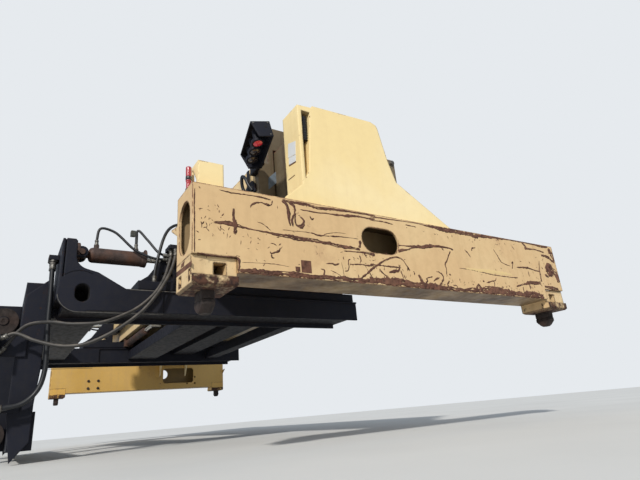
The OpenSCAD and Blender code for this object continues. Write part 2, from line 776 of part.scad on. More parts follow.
// Outline of the plate on each side of the arm's root: a round root, a slope in two parts and an ear
module cheek() {
    slant = norm([1, shallow]);
    // Circle that touches the ear's front edge and the shallow slope
    fillet_y = ear_front + ear_r;
    fillet_z = step_z + (step_y - fillet_y) * shallow + ear_r * slant;
    corner_z = step_z + (step_y - ear_front) * shallow;
    touch = [fillet_y - ear_r * shallow / slant, fillet_z - ear_r / slant];
    union() {
        translate([root_y, root_z]) circle(cheek_r, $fn = 96);
        polygon([
            [root_y - 20, arm_z - cheek_lip], [cheek_front, arm_z - cheek_lip], [cheek_front, arm_top],
            [slope_y, arm_top], [step_y, step_z], [ear_front, corner_z], [ear_front, ear_top - 12],
            [ear_front - 12, ear_top], [ear_back, ear_top], [ear_back, root_z + 50]
        ]);
        difference() {
            polygon([[ear_front - 1, corner_z - 1], touch, [fillet_y, fillet_z], [ear_front - 1, fillet_z]]);
            translate([fillet_y, fillet_z]) circle(ear_r, $fn = 128);
        }
    }
}

// Outline of a lug for the cylinder's pin
module lug() {
    difference() {
        union() {
            translate([barrel_pin_y, barrel_z]) circle(pin_d / 2 + 20, $fn = 48);
            translate([wall_y + 50, barrel_z - pin_d / 2 - 18])
                square([barrel_pin_y - wall_y - 50, pin_d + 36]);
        }
        translate([barrel_pin_y, barrel_z]) circle(pin_d / 2 + seat_gap, $fn = 48);
    }
}

// Box beam that joins the arms' roots and bolts to the carriage's front
module root_beam() {
    box([-arm_in, carriage_d, arm_z], [arm_in, root_y + 180, arm_top]);
}

module tie(y0, y1) {
    box([-arm_in - arm_recess, y0, arm_z], [arm_in + arm_recess, y1, arm_z + tie_h]);
}

// Barrel with its eye and pin at the back, a domed rear end, two ports and a gland ring
module barrel() {
    r = barrel_d / 2;
    run = barrel_front - barrel_pin_y;
    translate([barrel_x, barrel_pin_y, barrel_z]) rotate([-90, 0, 0]) difference() {
        union() {
            rotate_extrude($fn = 64) polygon([
                [0, 0], [rod_d * 0.6, 0], [rod_d * 0.6, 44], [r * 0.72, 48], [r * 0.9, 56], [r, 70],
                [r, run - 34], [r + 3, run - 32], [r + 3, run - 4], [r - 1, run], [0, run]
            ]);
            rotate([0, 90, 0]) cylinder(d = pin_d + 20, h = 56, center = true, $fn = 48);
            rotate([0, 90, 0]) cylinder(d = pin_d, h = 136, center = true, $fn = 48);
            for (y = [port_rear, run - port_front]) translate([0, -r + 8, y]) rotate([90, 0, 0])
                cylinder(d = hose_d + 16, h = 28 - seat_gap, $fn = 32);
        }
        translate([0, 0, bore_start]) cylinder(d = rod_d + 1, h = run, $fn = 48);
    }
}

// Rod, from inside its barrel to the eye on the saddle's pin
module rod() {
    y0 = barrel_pin_y + bore_start + reach_travel + 28;
    translate([barrel_x, 0, barrel_z]) difference() {
        union() {
            translate([0, y0, 0]) rotate([-90, 0, 0]) cylinder(d = rod_d, h = rod_pin_y - y0, $fn = 48);
            translate([-50, rod_pin_y, 0]) rotate([0, 90, 0]) cylinder(r = rod_eye_r, h = 100, $fn = 64);
        }
        translate([-51, rod_pin_y, 0]) rotate([0, 90, 0])
            cylinder(d = pin_d + 2 * seat_gap, h = 102, $fn = 48);
    }
}

// Shoe on one arm with its rear bracket, the rod's pin, the hose block and the lip under the rail
module saddle_side() {
    union() {
        box([shoe_in, shoe_rear, shoe_z], [shoe_out, shoe_front, shoe_top]);
        for (x = [barrel_x - bracket_half, barrel_x + bracket_half - bracket_t])
            along_x(x, x + bracket_t) bracket();
        translate([barrel_x - bracket_half + 1, rod_pin_y, barrel_z]) rotate([0, 90, 0])
            cylinder(d = pin_d, h = 2 * bracket_half - 2, $fn = 48);
        box([barrel_x - bracket_half, bracket_face - 1, rail_z - guide_gap - 24],
            [barrel_x + bracket_half, bracket_face + rail_d - 10, rail_z - guide_gap]);
        box([barrel_x - bracket_half, bracket_face - plate_front_t, shoe_top],
            [barrel_x + bracket_half, bracket_face, rail_top - 40]);
        box([block_x, block_y, block_z], [block_x, block_y, block_z] + block_size);
        box([block_x, ledge_y, ledge_z], [block_x, ledge_y, ledge_z] + ledge_size);
    }
}

// Outline of a bracket plate, stepped up from the shoe's rear end to the rail, with one hole
module bracket() {
    difference() {
        polygon([
            [shoe_rear, shoe_top], [shoe_rear + 84, shoe_top + 60], [shoe_rear + 138, shoe_top + 135],
            [rod_pin_y - 15, barrel_z + 70], [bracket_face - 20, rail_top - 25],
            [bracket_face, rail_top - 40], [bracket_face, shoe_top]
        ]);
        translate([bracket_face - 92, shoe_top + 66]) oblong(90, 56);
    }
}

// Cross tube that joins the shoes and hangs between the arms
module saddle_cross() {
    y0 = centre_y - cross_d / 2;
    union() {
        box([-arm_in + 10, y0, arm_top - 80], [arm_in - 10, y0 + cross_d, shoe_z]);
        box([-shoe_in, y0, shoe_z], [shoe_in, y0 + cross_d, shoe_top]);
    }
}

// Wear pads under the shoes
module shoe_pads() {
    for (s = [-1, 1]) for (y = [shoe_rear + 60, centre_y - pad_l / 2, shoe_front - 60 - pad_l])
        translate([s * arm_mid - pad_w / 2, y, arm_top + seat_gap]) cube([pad_w, pad_l, pad_t - seat_gap]);
}

// Slide pads that carry the main frame on the shoes
module side_pads() {
    for (s = [-1, 1]) for (y = [-sleeve_out + 30, sleeve_out - 30 - side_pad_l])
        translate([s * arm_mid - pad_w / 2, centre_y + y, shoe_top])
            cube([pad_w, side_pad_l, side_pad_t - seat_gap]);
}

// Two cross beams of the carriage, the upper one with lugs for the lift chains
module carriage_beams() {
    for (z = [carriage_top - carriage_beam_h - 20, carriage_low + 60])
        box([-carriage_out + carriage_t, 20, z],
            [carriage_out - carriage_t, carriage_d, z + carriage_beam_h]);
    for (x = [-250, 250]) for (u = [-22, 22]) along_x(x + u - 8, x + u + 8) difference() {
        union() {
            translate([85, carriage_top + 25]) circle(32, $fn = 48);
            translate([53, carriage_top - 21]) square([64, 46]);
        }
        translate([85, carriage_top + 25]) circle(15, $fn = 48);
    }
}

// Upright plates that carry the rollers' stub axles
module roller_plates() {
    for (s = [-1, 1]) {
        x = s * (roller_x - roller_w / 2 - 60);
        box([x - 20, 2 * roller_y + 20, carriage_low + 60], [x + 20, 20, carriage_top - 20]);
        for (z = [roller_low, roller_high]) translate([x, roller_y, z]) rotate([0, s * 90, 0])
            cylinder(d = stub_d, h = 60 + roller_w, $fn = 48);
    }
}

// Side plates of the carriage
module carriage_plates() {
    for (s = [-1, 1]) translate([s > 0 ? carriage_out - carriage_t : -carriage_out, 0, 0])
        along_x(0, carriage_t) polygon([
            [0, carriage_low + 256], [40, carriage_low], [carriage_d - 19, carriage_low + 108],
            [carriage_d - 17, carriage_low + 323], [carriage_d, carriage_low + 524],
            [carriage_d, carriage_top], [25, carriage_top - 113], [3, carriage_top - 498]
        ]);
}

// Clamps that hold the hoses' ends on the carriage and behind the right-hand ear
module hose_clamps() {
    x0 = carriage_out;
    for (row = [[70, 215, 110], [-255, -185, 110]]) {
        // Low edge, high edge, width along the container
        box([x0, clamp_y, row[0] + 10], [x0 + 14, 60, row[1] - 10]);
        box([x0, clamp_y - 40, row[0]], [x0 + row[2], clamp_y, row[1]]);
    }
    box([riser_hose_x[0] - 25, wall_y - 60, riser_top], [riser_hose_x[1] + 25, wall_y, riser_top + 32]);
}

module roller(side, z) {
    translate([side * roller_x, roller_y, z]) rotate([0, 90, 0]) difference() {
        cylinder(d = roller_d, h = roller_w, center = true, $fn = 96);
        cylinder(d = stub_d + 2 * roller_gap, h = roller_w + 2, center = true, $fn = 64);
    }
}

// Pads in the mouth of a sleeve, over and under the tube
module mouth_pads() {
    for (z = [tube_z - slide_gap, tube_top + seat_gap])
        box([mouth_x - 10 - pad_l, -tube_off - pad_run, z],
            [mouth_x - 10, -tube_off + pad_run, z + slide_gap - seat_gap]);
}

// Pads on the tail of a tube, which run inside the sleeve
module tail_pads() {
    for (z = [tube_z - slide_gap + seat_gap, tube_top])
        box([-tube_tail, -tube_off - pad_run, z],
            [-tube_tail + pad_l, -tube_off + pad_run, z + slide_gap - seat_gap]);
}

module tele_tube() {
    box_tube(-tube_tail, tower_x0, -tube_off, tube_w, tube_z, tube_h, tube_wall);
}

// Barrel of the side shift cylinder, held from the left-hand shoe
module shift_barrel() {
    difference() {
        union() {
            translate([shift_x, shift_y, shift_z]) rotate([0, 90, 0])
                cylinder(d = shift_barrel_d, h = shift_barrel_l, $fn = 48);
            box([shift_x - 20, shift_y - 50, shift_z - 40], [shift_x, shift_y + 50, shift_z + 40]);
            box([-shoe_in, shift_y - 30, shoe_z], [shift_x - 20, shift_y + 30, shoe_top]);
        }
        translate([shift_x + 40, shift_y, shift_z]) rotate([0, 90, 0])
            cylinder(d = shift_rod_d + 1, h = shift_barrel_l, $fn = 48);
    }
}

// Rod of the side shift cylinder and its lug under the rear sleeve
module shift_rod() {
    x0 = shift_x + shift_barrel_l - shift_travel - 50;
    x1 = shift_x + shift_barrel_l + shift_travel + 50;
    union() {
        translate([x0, shift_y, shift_z]) rotate([0, 90, 0])
            cylinder(d = shift_rod_d, h = x1 - x0, $fn = 48);
        box([x1, shift_y - 45, shift_z - 40], [x1 + 30, shift_y + 45, sleeve_z]);
    }
}

module cylinder_hoses() {
    hose(rear_port_hose, hose_d);
    hose(front_port_hose, hose_d);
    mirror([1, 0, 0]) hose(rear_port_hose, hose_d);
    mirror([1, 0, 0]) hose(front_port_hose, hose_d);
}

module supply_hoses() {
    hose(supply_hose_a, supply_d);
    hose(supply_hose_b, supply_d);
}

module riser_hoses() {
    for (x = riser_hose_x) translate([x, 0, 0]) hose(riser_hose, riser_hose_d);
}

module dark() { color([0.16, 0.17, 0.20]) children(); }
module cream() { color([0.93, 0.80, 0.55]) children(); }
module steel() { color([0.75, 0.75, 0.76]) children(); }
module rubber() { color([0.08, 0.08, 0.09]) children(); }

dark() carriage_beams();
dark() carriage_plates();
dark() roller_plates();
rubber() riser_hoses();
rubber() supply_hoses();
dark() hose_clamps();
dark() arm();  // arm_right
dark() mirror([1, 0, 0]) arm();  // arm_left
dark() root_beam();
dark() tie(tie_rear_y, tie_rear_y + tie_rear_d);  // tie_rear
dark() tie(tie_front_y, tie_front_y + tie_front_d);  // tie_front
dark() barrel();  // barrel_right
dark() mirror([1, 0, 0]) barrel();  // barrel_left
rubber() cylinder_hoses();
steel() roller(1, roller_high);  // roller_high_right
steel() roller(-1, roller_high);  // roller_high_left
steel() roller(1, roller_low);  // roller_low_right
steel() roller(-1, roller_low);  // roller_low_left
dark() saddle_side();  // saddle_right
dark() mirror([1, 0, 0]) saddle_side();  // saddle_left
dark() saddle_cross();
steel() shoe_pads();
steel() side_pads();
steel() rod();  // rod_right
steel() mirror([1, 0, 0]) rod();  // rod_left
dark() shift_barrel();
steel() shift_rod();
rubber() hose(frame_hose_route, hose_d + 4);  // frame_hose
cream() at_centre() sleeve();  // sleeve_rear
cream() at_centre() half_turn(-1) sleeve();  // sleeve_front
cream() at_centre() frame_spine();
cream() at_centre() rail();  // rail_rear
cream() at_centre() half_turn(-1) rail();  // rail_front
cream() at_centre() collar();  // collar_right
cream() at_centre() half_turn(-1) collar();  // collar_left
cream() at_centre() chain_box();  // chain_box_right
cream() at_centre() half_turn(-1) chain_box();  // chain_box_left
steel() at_centre() mouth_pads();  // mouth_pads_right
steel() at_centre() half_turn(-1) mouth_pads();  // mouth_pads_left
dark() at_centre() lamp_hood();
color("red") at_centre() lamp_lenses();
cream() at_centre() tele_tube();  // tube_right
steel() at_centre() tail_pads();  // tail_pads_right
cream() at_centre() tower();  // tower_right
cream() at_centre() end_beam();  // beam_right
cream() at_centre() corners();  // corners_right
cream() at_centre() guard();  // guard_right
color("red") at_centre() beacon();  // beacon_right
cream() at_centre() half_turn(-1) tele_tube();  // tube_left
steel() at_centre() half_turn(-1) tail_pads();  // tail_pads_left
cream() at_centre() half_turn(-1) tower();  // tower_left
cream() at_centre() half_turn(-1) end_beam();  // beam_left
cream() at_centre() half_turn(-1) corners();  // corners_left
cream() at_centre() half_turn(-1) guard();  // guard_left
color("red") at_centre() half_turn(-1) beacon();  // beacon_left
steel() at_centre() translate([lock_x, -lock_y, 0]) lock();  // lock_right_rear
steel() at_centre() translate([lock_x, lock_y, 0]) lock();  // lock_right_front
steel() at_centre() translate([-lock_x, lock_y, 0]) lock();  // lock_left_front
steel() at_centre() translate([-lock_x, -lock_y, 0]) lock();  // lock_left_rear
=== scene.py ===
"""Looks of a telescopic container spreader: finishes, hoses, fittings, marks of use, floor, light and camera.

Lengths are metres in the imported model's frame, with +X along the container, +Y away from the carriage and
+Z up, unless a name or a docstring says millimetres.
"""

import json
import logging
import math
from collections.abc import Sequence
from dataclasses import dataclass, replace
from enum import Enum
from functools import cached_property, reduce

import bpy
import numpy as np
from mathutils import Matrix


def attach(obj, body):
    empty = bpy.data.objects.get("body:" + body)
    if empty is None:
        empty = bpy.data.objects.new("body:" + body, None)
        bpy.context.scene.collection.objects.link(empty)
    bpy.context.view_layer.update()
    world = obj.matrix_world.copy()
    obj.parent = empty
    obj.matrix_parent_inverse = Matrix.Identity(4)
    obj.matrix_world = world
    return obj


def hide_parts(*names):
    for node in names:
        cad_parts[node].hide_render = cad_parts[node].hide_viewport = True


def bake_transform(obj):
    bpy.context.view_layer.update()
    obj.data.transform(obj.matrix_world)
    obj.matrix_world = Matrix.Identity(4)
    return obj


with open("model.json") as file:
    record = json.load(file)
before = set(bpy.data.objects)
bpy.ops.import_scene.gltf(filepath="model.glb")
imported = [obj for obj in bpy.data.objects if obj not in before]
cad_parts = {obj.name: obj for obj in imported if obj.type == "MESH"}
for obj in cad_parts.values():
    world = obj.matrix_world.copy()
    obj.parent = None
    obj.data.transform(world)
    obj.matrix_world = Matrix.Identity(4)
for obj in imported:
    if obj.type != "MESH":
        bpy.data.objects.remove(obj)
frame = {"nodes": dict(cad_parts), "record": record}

Point = tuple[float, float, float]
Rows = Sequence[Sequence[float]] | np.ndarray
Color = tuple[float, float, float, float]
Socket = bpy.types.NodeSocket

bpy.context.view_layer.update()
SEED = 7
MM = 0.001
SPREADER_Y = 1.725  # the spreader's upright middle line
SHARP = 40.0  # edges that turn more than this many degrees stay sharp
CORNER_POINTS = 6  # points of each rounded corner
BEAD_POINTS = 6  # points across each weld bead
FULL_TURN = 2 * math.pi
log = logging.getLogger("spreader")


class Side(Enum):
    """Which end of the container a piece belongs to; the value is the sign of X."""

    RIGHT = 1
    LEFT = -1


ENDS = {Side.RIGHT: "end_right", Side.LEFT: "end_left"}
OUT, IN = (1.0, 0.0, 0.0), (-1.0, 0.0, 0.0)  # at the right-hand end, from the spreader's middle and to it
ALONG, BACK = (0.0, 1.0, 0.0), (0.0, -1.0, 0.0)  # away from the carriage and towards it
UP = (0.0, 0.0, 1.0)


def linear(code: str) -> Color:
    """Turns an sRGB hex colour into linear red, green, blue and alpha.

    Args:
        code: Six hex digits after a hash.

    Returns:
        Four numbers for a colour socket.
    """
    channels = np.array([int(code[i : i + 2], 16) for i in (1, 3, 5)]) / 255.0
    low = channels / 12.92
    high = ((channels + 0.055) / 1.055) ** 2.4
    return (*(float(c) for c in np.where(channels <= 0.04045, low, high)), 1.0)


# ---------------------------------------------------------------- mesh forms


@dataclass(frozen=True)
class Form:
    """Points and faces of one mesh, before it is an object.

    Attributes:
        points: One row of x, y, z for each point.
        quads: One row of four point numbers for each four-sided face.
        caps: Point numbers of each face with another number of sides.
    """

    points: np.ndarray
    quads: np.ndarray
    caps: tuple[tuple[int, ...], ...] = ()

    def moved(self, offset: Sequence[float]) -> "Form":
        """Returns the form shifted by offset."""
        return replace(self, points=self.points + np.asarray(offset, float))

    def mirrored(self) -> "Form":
        """Returns the form mirrored in X, with its faces turned back outwards."""
        return Form(self.points * (-1, 1, 1), self.quads[:, ::-1], tuple(c[::-1] for c in self.caps))

    def half_turned(self) -> "Form":
        """Returns the form turned half round the spreader's upright middle line."""
        middle = np.array((0, SPREADER_Y, 0))
        return replace(self, points=(self.points - middle) * (-1, -1, 1) + middle)

    def at_end(self, side: Side) -> "Form":
        """Returns the form as it is for the right-hand end, or half a turn round for the left."""
        return self if side is Side.RIGHT else self.half_turned()


def merged(forms: Sequence[Form]) -> Form:
    """Puts several forms into one, each with its point numbers moved on by the points before it.

    Args:
        forms: The forms, in order.

    Returns:
        One form with all their points and faces.
    """
    starts = np.cumsum([0] + [len(f.points) for f in forms])
    return Form(
        np.vstack([f.points for f in forms]),
        np.vstack([f.quads + s for f, s in zip(forms, starts)]),
        tuple(tuple(int(i + s) for i in cap) for f, s in zip(forms, starts) for cap in f.caps),
    )


def grid_form(points: np.ndarray, capped: bool = True) -> Form:
    """Joins a grid of points into quads: each row runs round and closes on itself.

    A quad has a point, the next one in its row, and the two beside them in the next row.

    Args:
        points: Rows by columns by three.
        capped: Whether the first and last rows get a face.

    Returns:
        The form.
    """
    rows, columns = points.shape[:2]
    number = np.arange(rows * columns).reshape(rows, columns)
    across = np.roll(number, -1, axis=1)
    quads = np.stack([number[:-1], across[:-1], across[1:], number[1:]], axis=-1).reshape(-1, 4)
    caps = (tuple(map(int, number[0][::-1])), tuple(map(int, number[-1]))) if capped else ()
    return Form(points.reshape(-1, 3), quads, caps)


def unit(vectors: Rows | Sequence[float]) -> np.ndarray:
    """Scales each vector to length one."""
    vectors = np.asarray(vectors, float)
    return vectors / np.linalg.norm(vectors, axis=-1, keepdims=True)


def smooth_path(points: Rows, step: float) -> np.ndarray:
    """Runs a curve through points: centripetal Catmull-Rom, whose knots are spaced by the root of each chord.

    Each stretch is the threefold linear blend of its four nearest points, and the result is then
    sampled again at equal steps along its length.

    Args:
        points: Points that the curve passes.
        step: Distance between the samples.

    Returns:
        Samples along the curve.
    """
    p = np.asarray(points, float)
    p = np.vstack([2 * p[0] - p[1], p, 2 * p[-1] - p[-2]])
    knots = np.concatenate([[0], np.cumsum(np.sqrt(np.linalg.norm(np.diff(p, axis=0), axis=1)))])
    a, b, c, d = (p[i : len(p) - 3 + i, None] for i in range(4))
    ta, tb, tc, td = (knots[i : len(p) - 3 + i, None, None] for i in range(4))
    t = tb + (tc - tb) * np.linspace(0, 1, 24)[None, :, None]

    def mix(left: np.ndarray, right: np.ndarray, t_left: np.ndarray, t_right: np.ndarray) -> np.ndarray:
        """Blends two points in the share that t has run from t_left to t_right."""
        return left + (right - left) * (t - t_left) / (t_right - t_left)

    ab, bc, cd = mix(a, b, ta, tb), mix(b, c, tb, tc), mix(c, d, tc, td)
    curve = mix(mix(ab, bc, ta, tc), mix(bc, cd, tb, td), tb, tc).reshape(-1, 3)
    chords = np.linalg.norm(np.diff(curve, axis=0), axis=1)
    curve = curve[np.concatenate([[True], chords > 1e-9])]
    run = np.concatenate([[0], np.cumsum(np.linalg.norm(np.diff(curve, axis=0), axis=1))])
    wanted = np.linspace(0, run[-1], max(4, int(round(run[-1] / step)) + 1))
    return np.stack([np.interp(wanted, run, curve[:, i]) for i in range(3)], axis=1)


def tube(path: np.ndarray, radius: float | np.ndarray, sides: int = 12) -> Form:
    """Sweeps a circle along a path that never runs along X; each ring is square to the path.

    A ring's point is the path's point plus radius times (first * cos q + second * sin q), where
    first is square to the path and to X, and second is square to both.

    Args:
        path: Points along the middle line.
        radius: One radius, or one for each point.
        sides: Points round the tube.

    Returns:
        The tube with both ends closed.
    """
    way = unit(np.gradient(path, axis=0))
    first = unit(np.cross(way, np.asarray(OUT)))
    second = np.cross(way, first)
    angle = np.linspace(0, FULL_TURN, sides, endpoint=False)[None, :, None]
    around = first[:, None] * np.cos(angle) + second[:, None] * np.sin(angle)
    radii = np.broadcast_to(np.asarray(radius, float), (len(path),))[:, None, None]
    return grid_form(path[:, None] + around * radii)


def turned(profile: Rows, base: Sequence[float], axis: Sequence[float], sides: int = 24) -> Form:
    """Turns a profile round an axis: base + height * axis + radius * (first * cos q + second * sin q).

    Args:
        profile: Pairs of radius and height.
        base: Where height zero lies.
        axis: Direction of the axis.
        sides: Points round the axis; six makes a hexagon.

    Returns:
        The form with both ends closed.
    """
    axis = unit(axis)
    aside = OUT if abs(axis[0]) < 0.9 else ALONG
    first = unit(np.cross(axis, aside))
    second = np.cross(axis, first)
    r, h = np.asarray(profile, float).T
    angle = np.linspace(0, FULL_TURN, sides, endpoint=False)[None, :, None]
    around = first * np.cos(angle) + second * np.sin(angle)
    return grid_form(np.asarray(base, float) + r[:, None, None] * around + h[:, None, None] * axis)


def ring(profile: Rows, base: Sequence[float], ways: Sequence[Point], sides: int) -> Form:
    """Turns a closed profile into a ring, whose last row of points lies on its first.

    A point is base + height * axis + radius * (first * cos q + second * sin q).

    Args:
        profile: Pairs of radius and height, going round so that faces point outwards.
        base: Where height zero lies.
        ways: First and second, square to the axis, and the axis.
        sides: Points round the axis.

    Returns:
        The ring.
    """
    first, second, axis = np.asarray(ways, float)
    r, h = np.asarray(profile, float).T
    angle = np.linspace(0, FULL_TURN, sides, endpoint=False)[:, None, None]
    around = first * np.cos(angle) + second * np.sin(angle)
    points = np.asarray(base, float) + r[None, :, None] * around + h[None, :, None] * axis
    return grid_form(np.concatenate([points, points[:1]]), capped=False)


def slab(outline: Rows, lift: float, origin: Sequence[float]) -> Form:
    """Gives an outline in the plane of Y and Z a thickness along +X.

    Args:
        outline: Pairs of y and z from the origin, turning anticlockwise as seen against +X.
        lift: Thickness.
        origin: Where both are zero.

    Returns:
        The closed form.
    """
    yz = np.asarray(outline, float)
    flat = np.asarray(origin, float) + np.column_stack([np.zeros(len(yz)), yz])
    return grid_form(np.stack([flat, flat + lift * np.asarray(OUT)]))


def plate(corners_mm: Rows, lift: float, out: Point) -> Form:
    """Thin flat plate on corners in millimetres that turn anticlockwise as seen against out."""
    flat = np.asarray(corners_mm, float) * MM
    return grid_form(np.stack([flat, flat + lift * np.asarray(out)]))


def rounded_outline(width: float, height: float, radius: float) -> np.ndarray:
    """Outline of a rectangle with quarter circles at its corners, anticlockwise from the right.

    Args:
        width: Whole width.
        height: Whole height.
        radius: Radius of the corners.

    Returns:
        Pairs round the outline.
    """
    q = np.linspace(0, math.pi / 2, CORNER_POINTS)
    corner = radius * np.stack([np.cos(q), np.sin(q)], axis=1)
    places = np.array([(1, 1), (-1, 1), (-1, -1), (1, -1)]) * (width / 2 - radius, height / 2 - radius)
    turns = np.arange(4) * math.pi / 2
    spins = np.array([[np.cos(turns), -np.sin(turns)], [np.sin(turns), np.cos(turns)]]).transpose(2, 0, 1)
    return np.vstack([place + corner @ spin.T for place, spin in zip(places, spins)])


def arc(middle: Sequence[float], radius: float, start: float, end: float, count: int) -> np.ndarray:
    """Part of a circle in the plane of Y and Z: middle + radius * (cos q, sin q).

    Args:
        middle: Middle of the circle, whose x the arc keeps.
        radius: Radius.
        start: First angle in degrees from +Y.
        end: Last angle in degrees.
        count: Number of points.

    Returns:
        Points along the arc.
    """
    q = np.radians(np.linspace(start, end, count))
    x, y, z = middle
    return np.column_stack([np.full(count, x), y + radius * np.cos(q), z + radius * np.sin(q)])


def bead(path: np.ndarray, width: float, out: Sequence[float]) -> Form:
    """Half-round weld bead along a path: half as wide to each side, 0.45 of the width high at its middle.

    The height is multiplied by 1 + swell * sin(turn * sample number), like the scales of a weld.

    Args:
        path: Points along the joint.
        width: Width of the bead.
        out: Direction in which it stands up.

    Returns:
        The closed form.
    """
    way = unit(np.gradient(path, axis=0))
    side = unit(np.cross(way, np.asarray(out, float)))
    swell, turn = 0.18, 2.4
    ripple = 1 + swell * np.sin(np.arange(len(path)) * turn)
    angle = np.linspace(math.pi, 0, BEAD_POINTS)[None, :, None]
    lift = np.asarray(out, float)[None, None] * np.sin(angle) * ripple[:, None, None] * 0.45
    return grid_form(path[:, None] + width * (side[:, None] * np.cos(angle) * 0.5 + lift))


def linked_mesh(
    name: str, form: Form, material: bpy.types.Material, sharp: float = SHARP
) -> bpy.types.Object:
    """Makes a form into an object in the scene.

    Args:
        name: The object's name.
        form: Its mesh.
        material: Its material.
        sharp: Edges that turn more than this many degrees stay sharp.

    Returns:
        The object.
    """
    mesh = bpy.data.meshes.new(name)
    mesh.from_pydata(form.points, [], [tuple(q) for q in form.quads.tolist()] + list(form.caps))
    mesh.polygons.foreach_set("use_smooth", np.ones(len(mesh.polygons), bool))
    mesh.set_sharp_from_angle(angle=math.radians(sharp))
    mesh.materials.append(material)
    mesh.update()
    piece = bpy.data.objects.new(name, mesh)
    bpy.context.scene.collection.objects.link(piece)
    log.info("%s: %d faces", name, len(mesh.polygons))
    return piece


def add_piece(
    name: str, form: Form, material: bpy.types.Material, body: str | None, sharp: float = SHARP
) -> bpy.types.Object:
    """Adds a form as a piece of the part.

    Args:
        name: The piece's name.
        form: Its mesh.
        material: Its material.
        body: CAD body that it moves with, or None where it is held by two and left unattached.
        sharp: Edges that turn more than this many degrees stay sharp.

    Returns:
        The object.
    """
    piece = linked_mesh(name, form, material, sharp)
    if body is not None:
        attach(piece, body)
    return piece


# ---------------------------------------------------------------- materials


@dataclass(frozen=True)
class Clouds:
    """Cloudy noise, cut so that it runs from 0 to 1.

    Attributes:
        scale: Lumps a metre; 20 makes lumps of 50 mm.
        detail: How many finer layers lie on it.
        rough: Strength of the finer layers.
        low: Noise value, mostly near 0.5, that gives 0.
        high: Noise value that gives 1.
    """

    scale: float
    detail: float = 4.0
    rough: float = 0.55
    low: float = 0.0
    high: float = 1.0

    def lowered(self, low: float, high: float) -> "Clouds":
        """Returns the pattern with its limits lowered by that much, so that it covers more."""
        return replace(self, low=self.low - low, high=self.high - high)

    def finer(self, times: float) -> "Clouds":
        """Returns the pattern with its scale multiplied."""
        return replace(self, scale=self.scale * times)


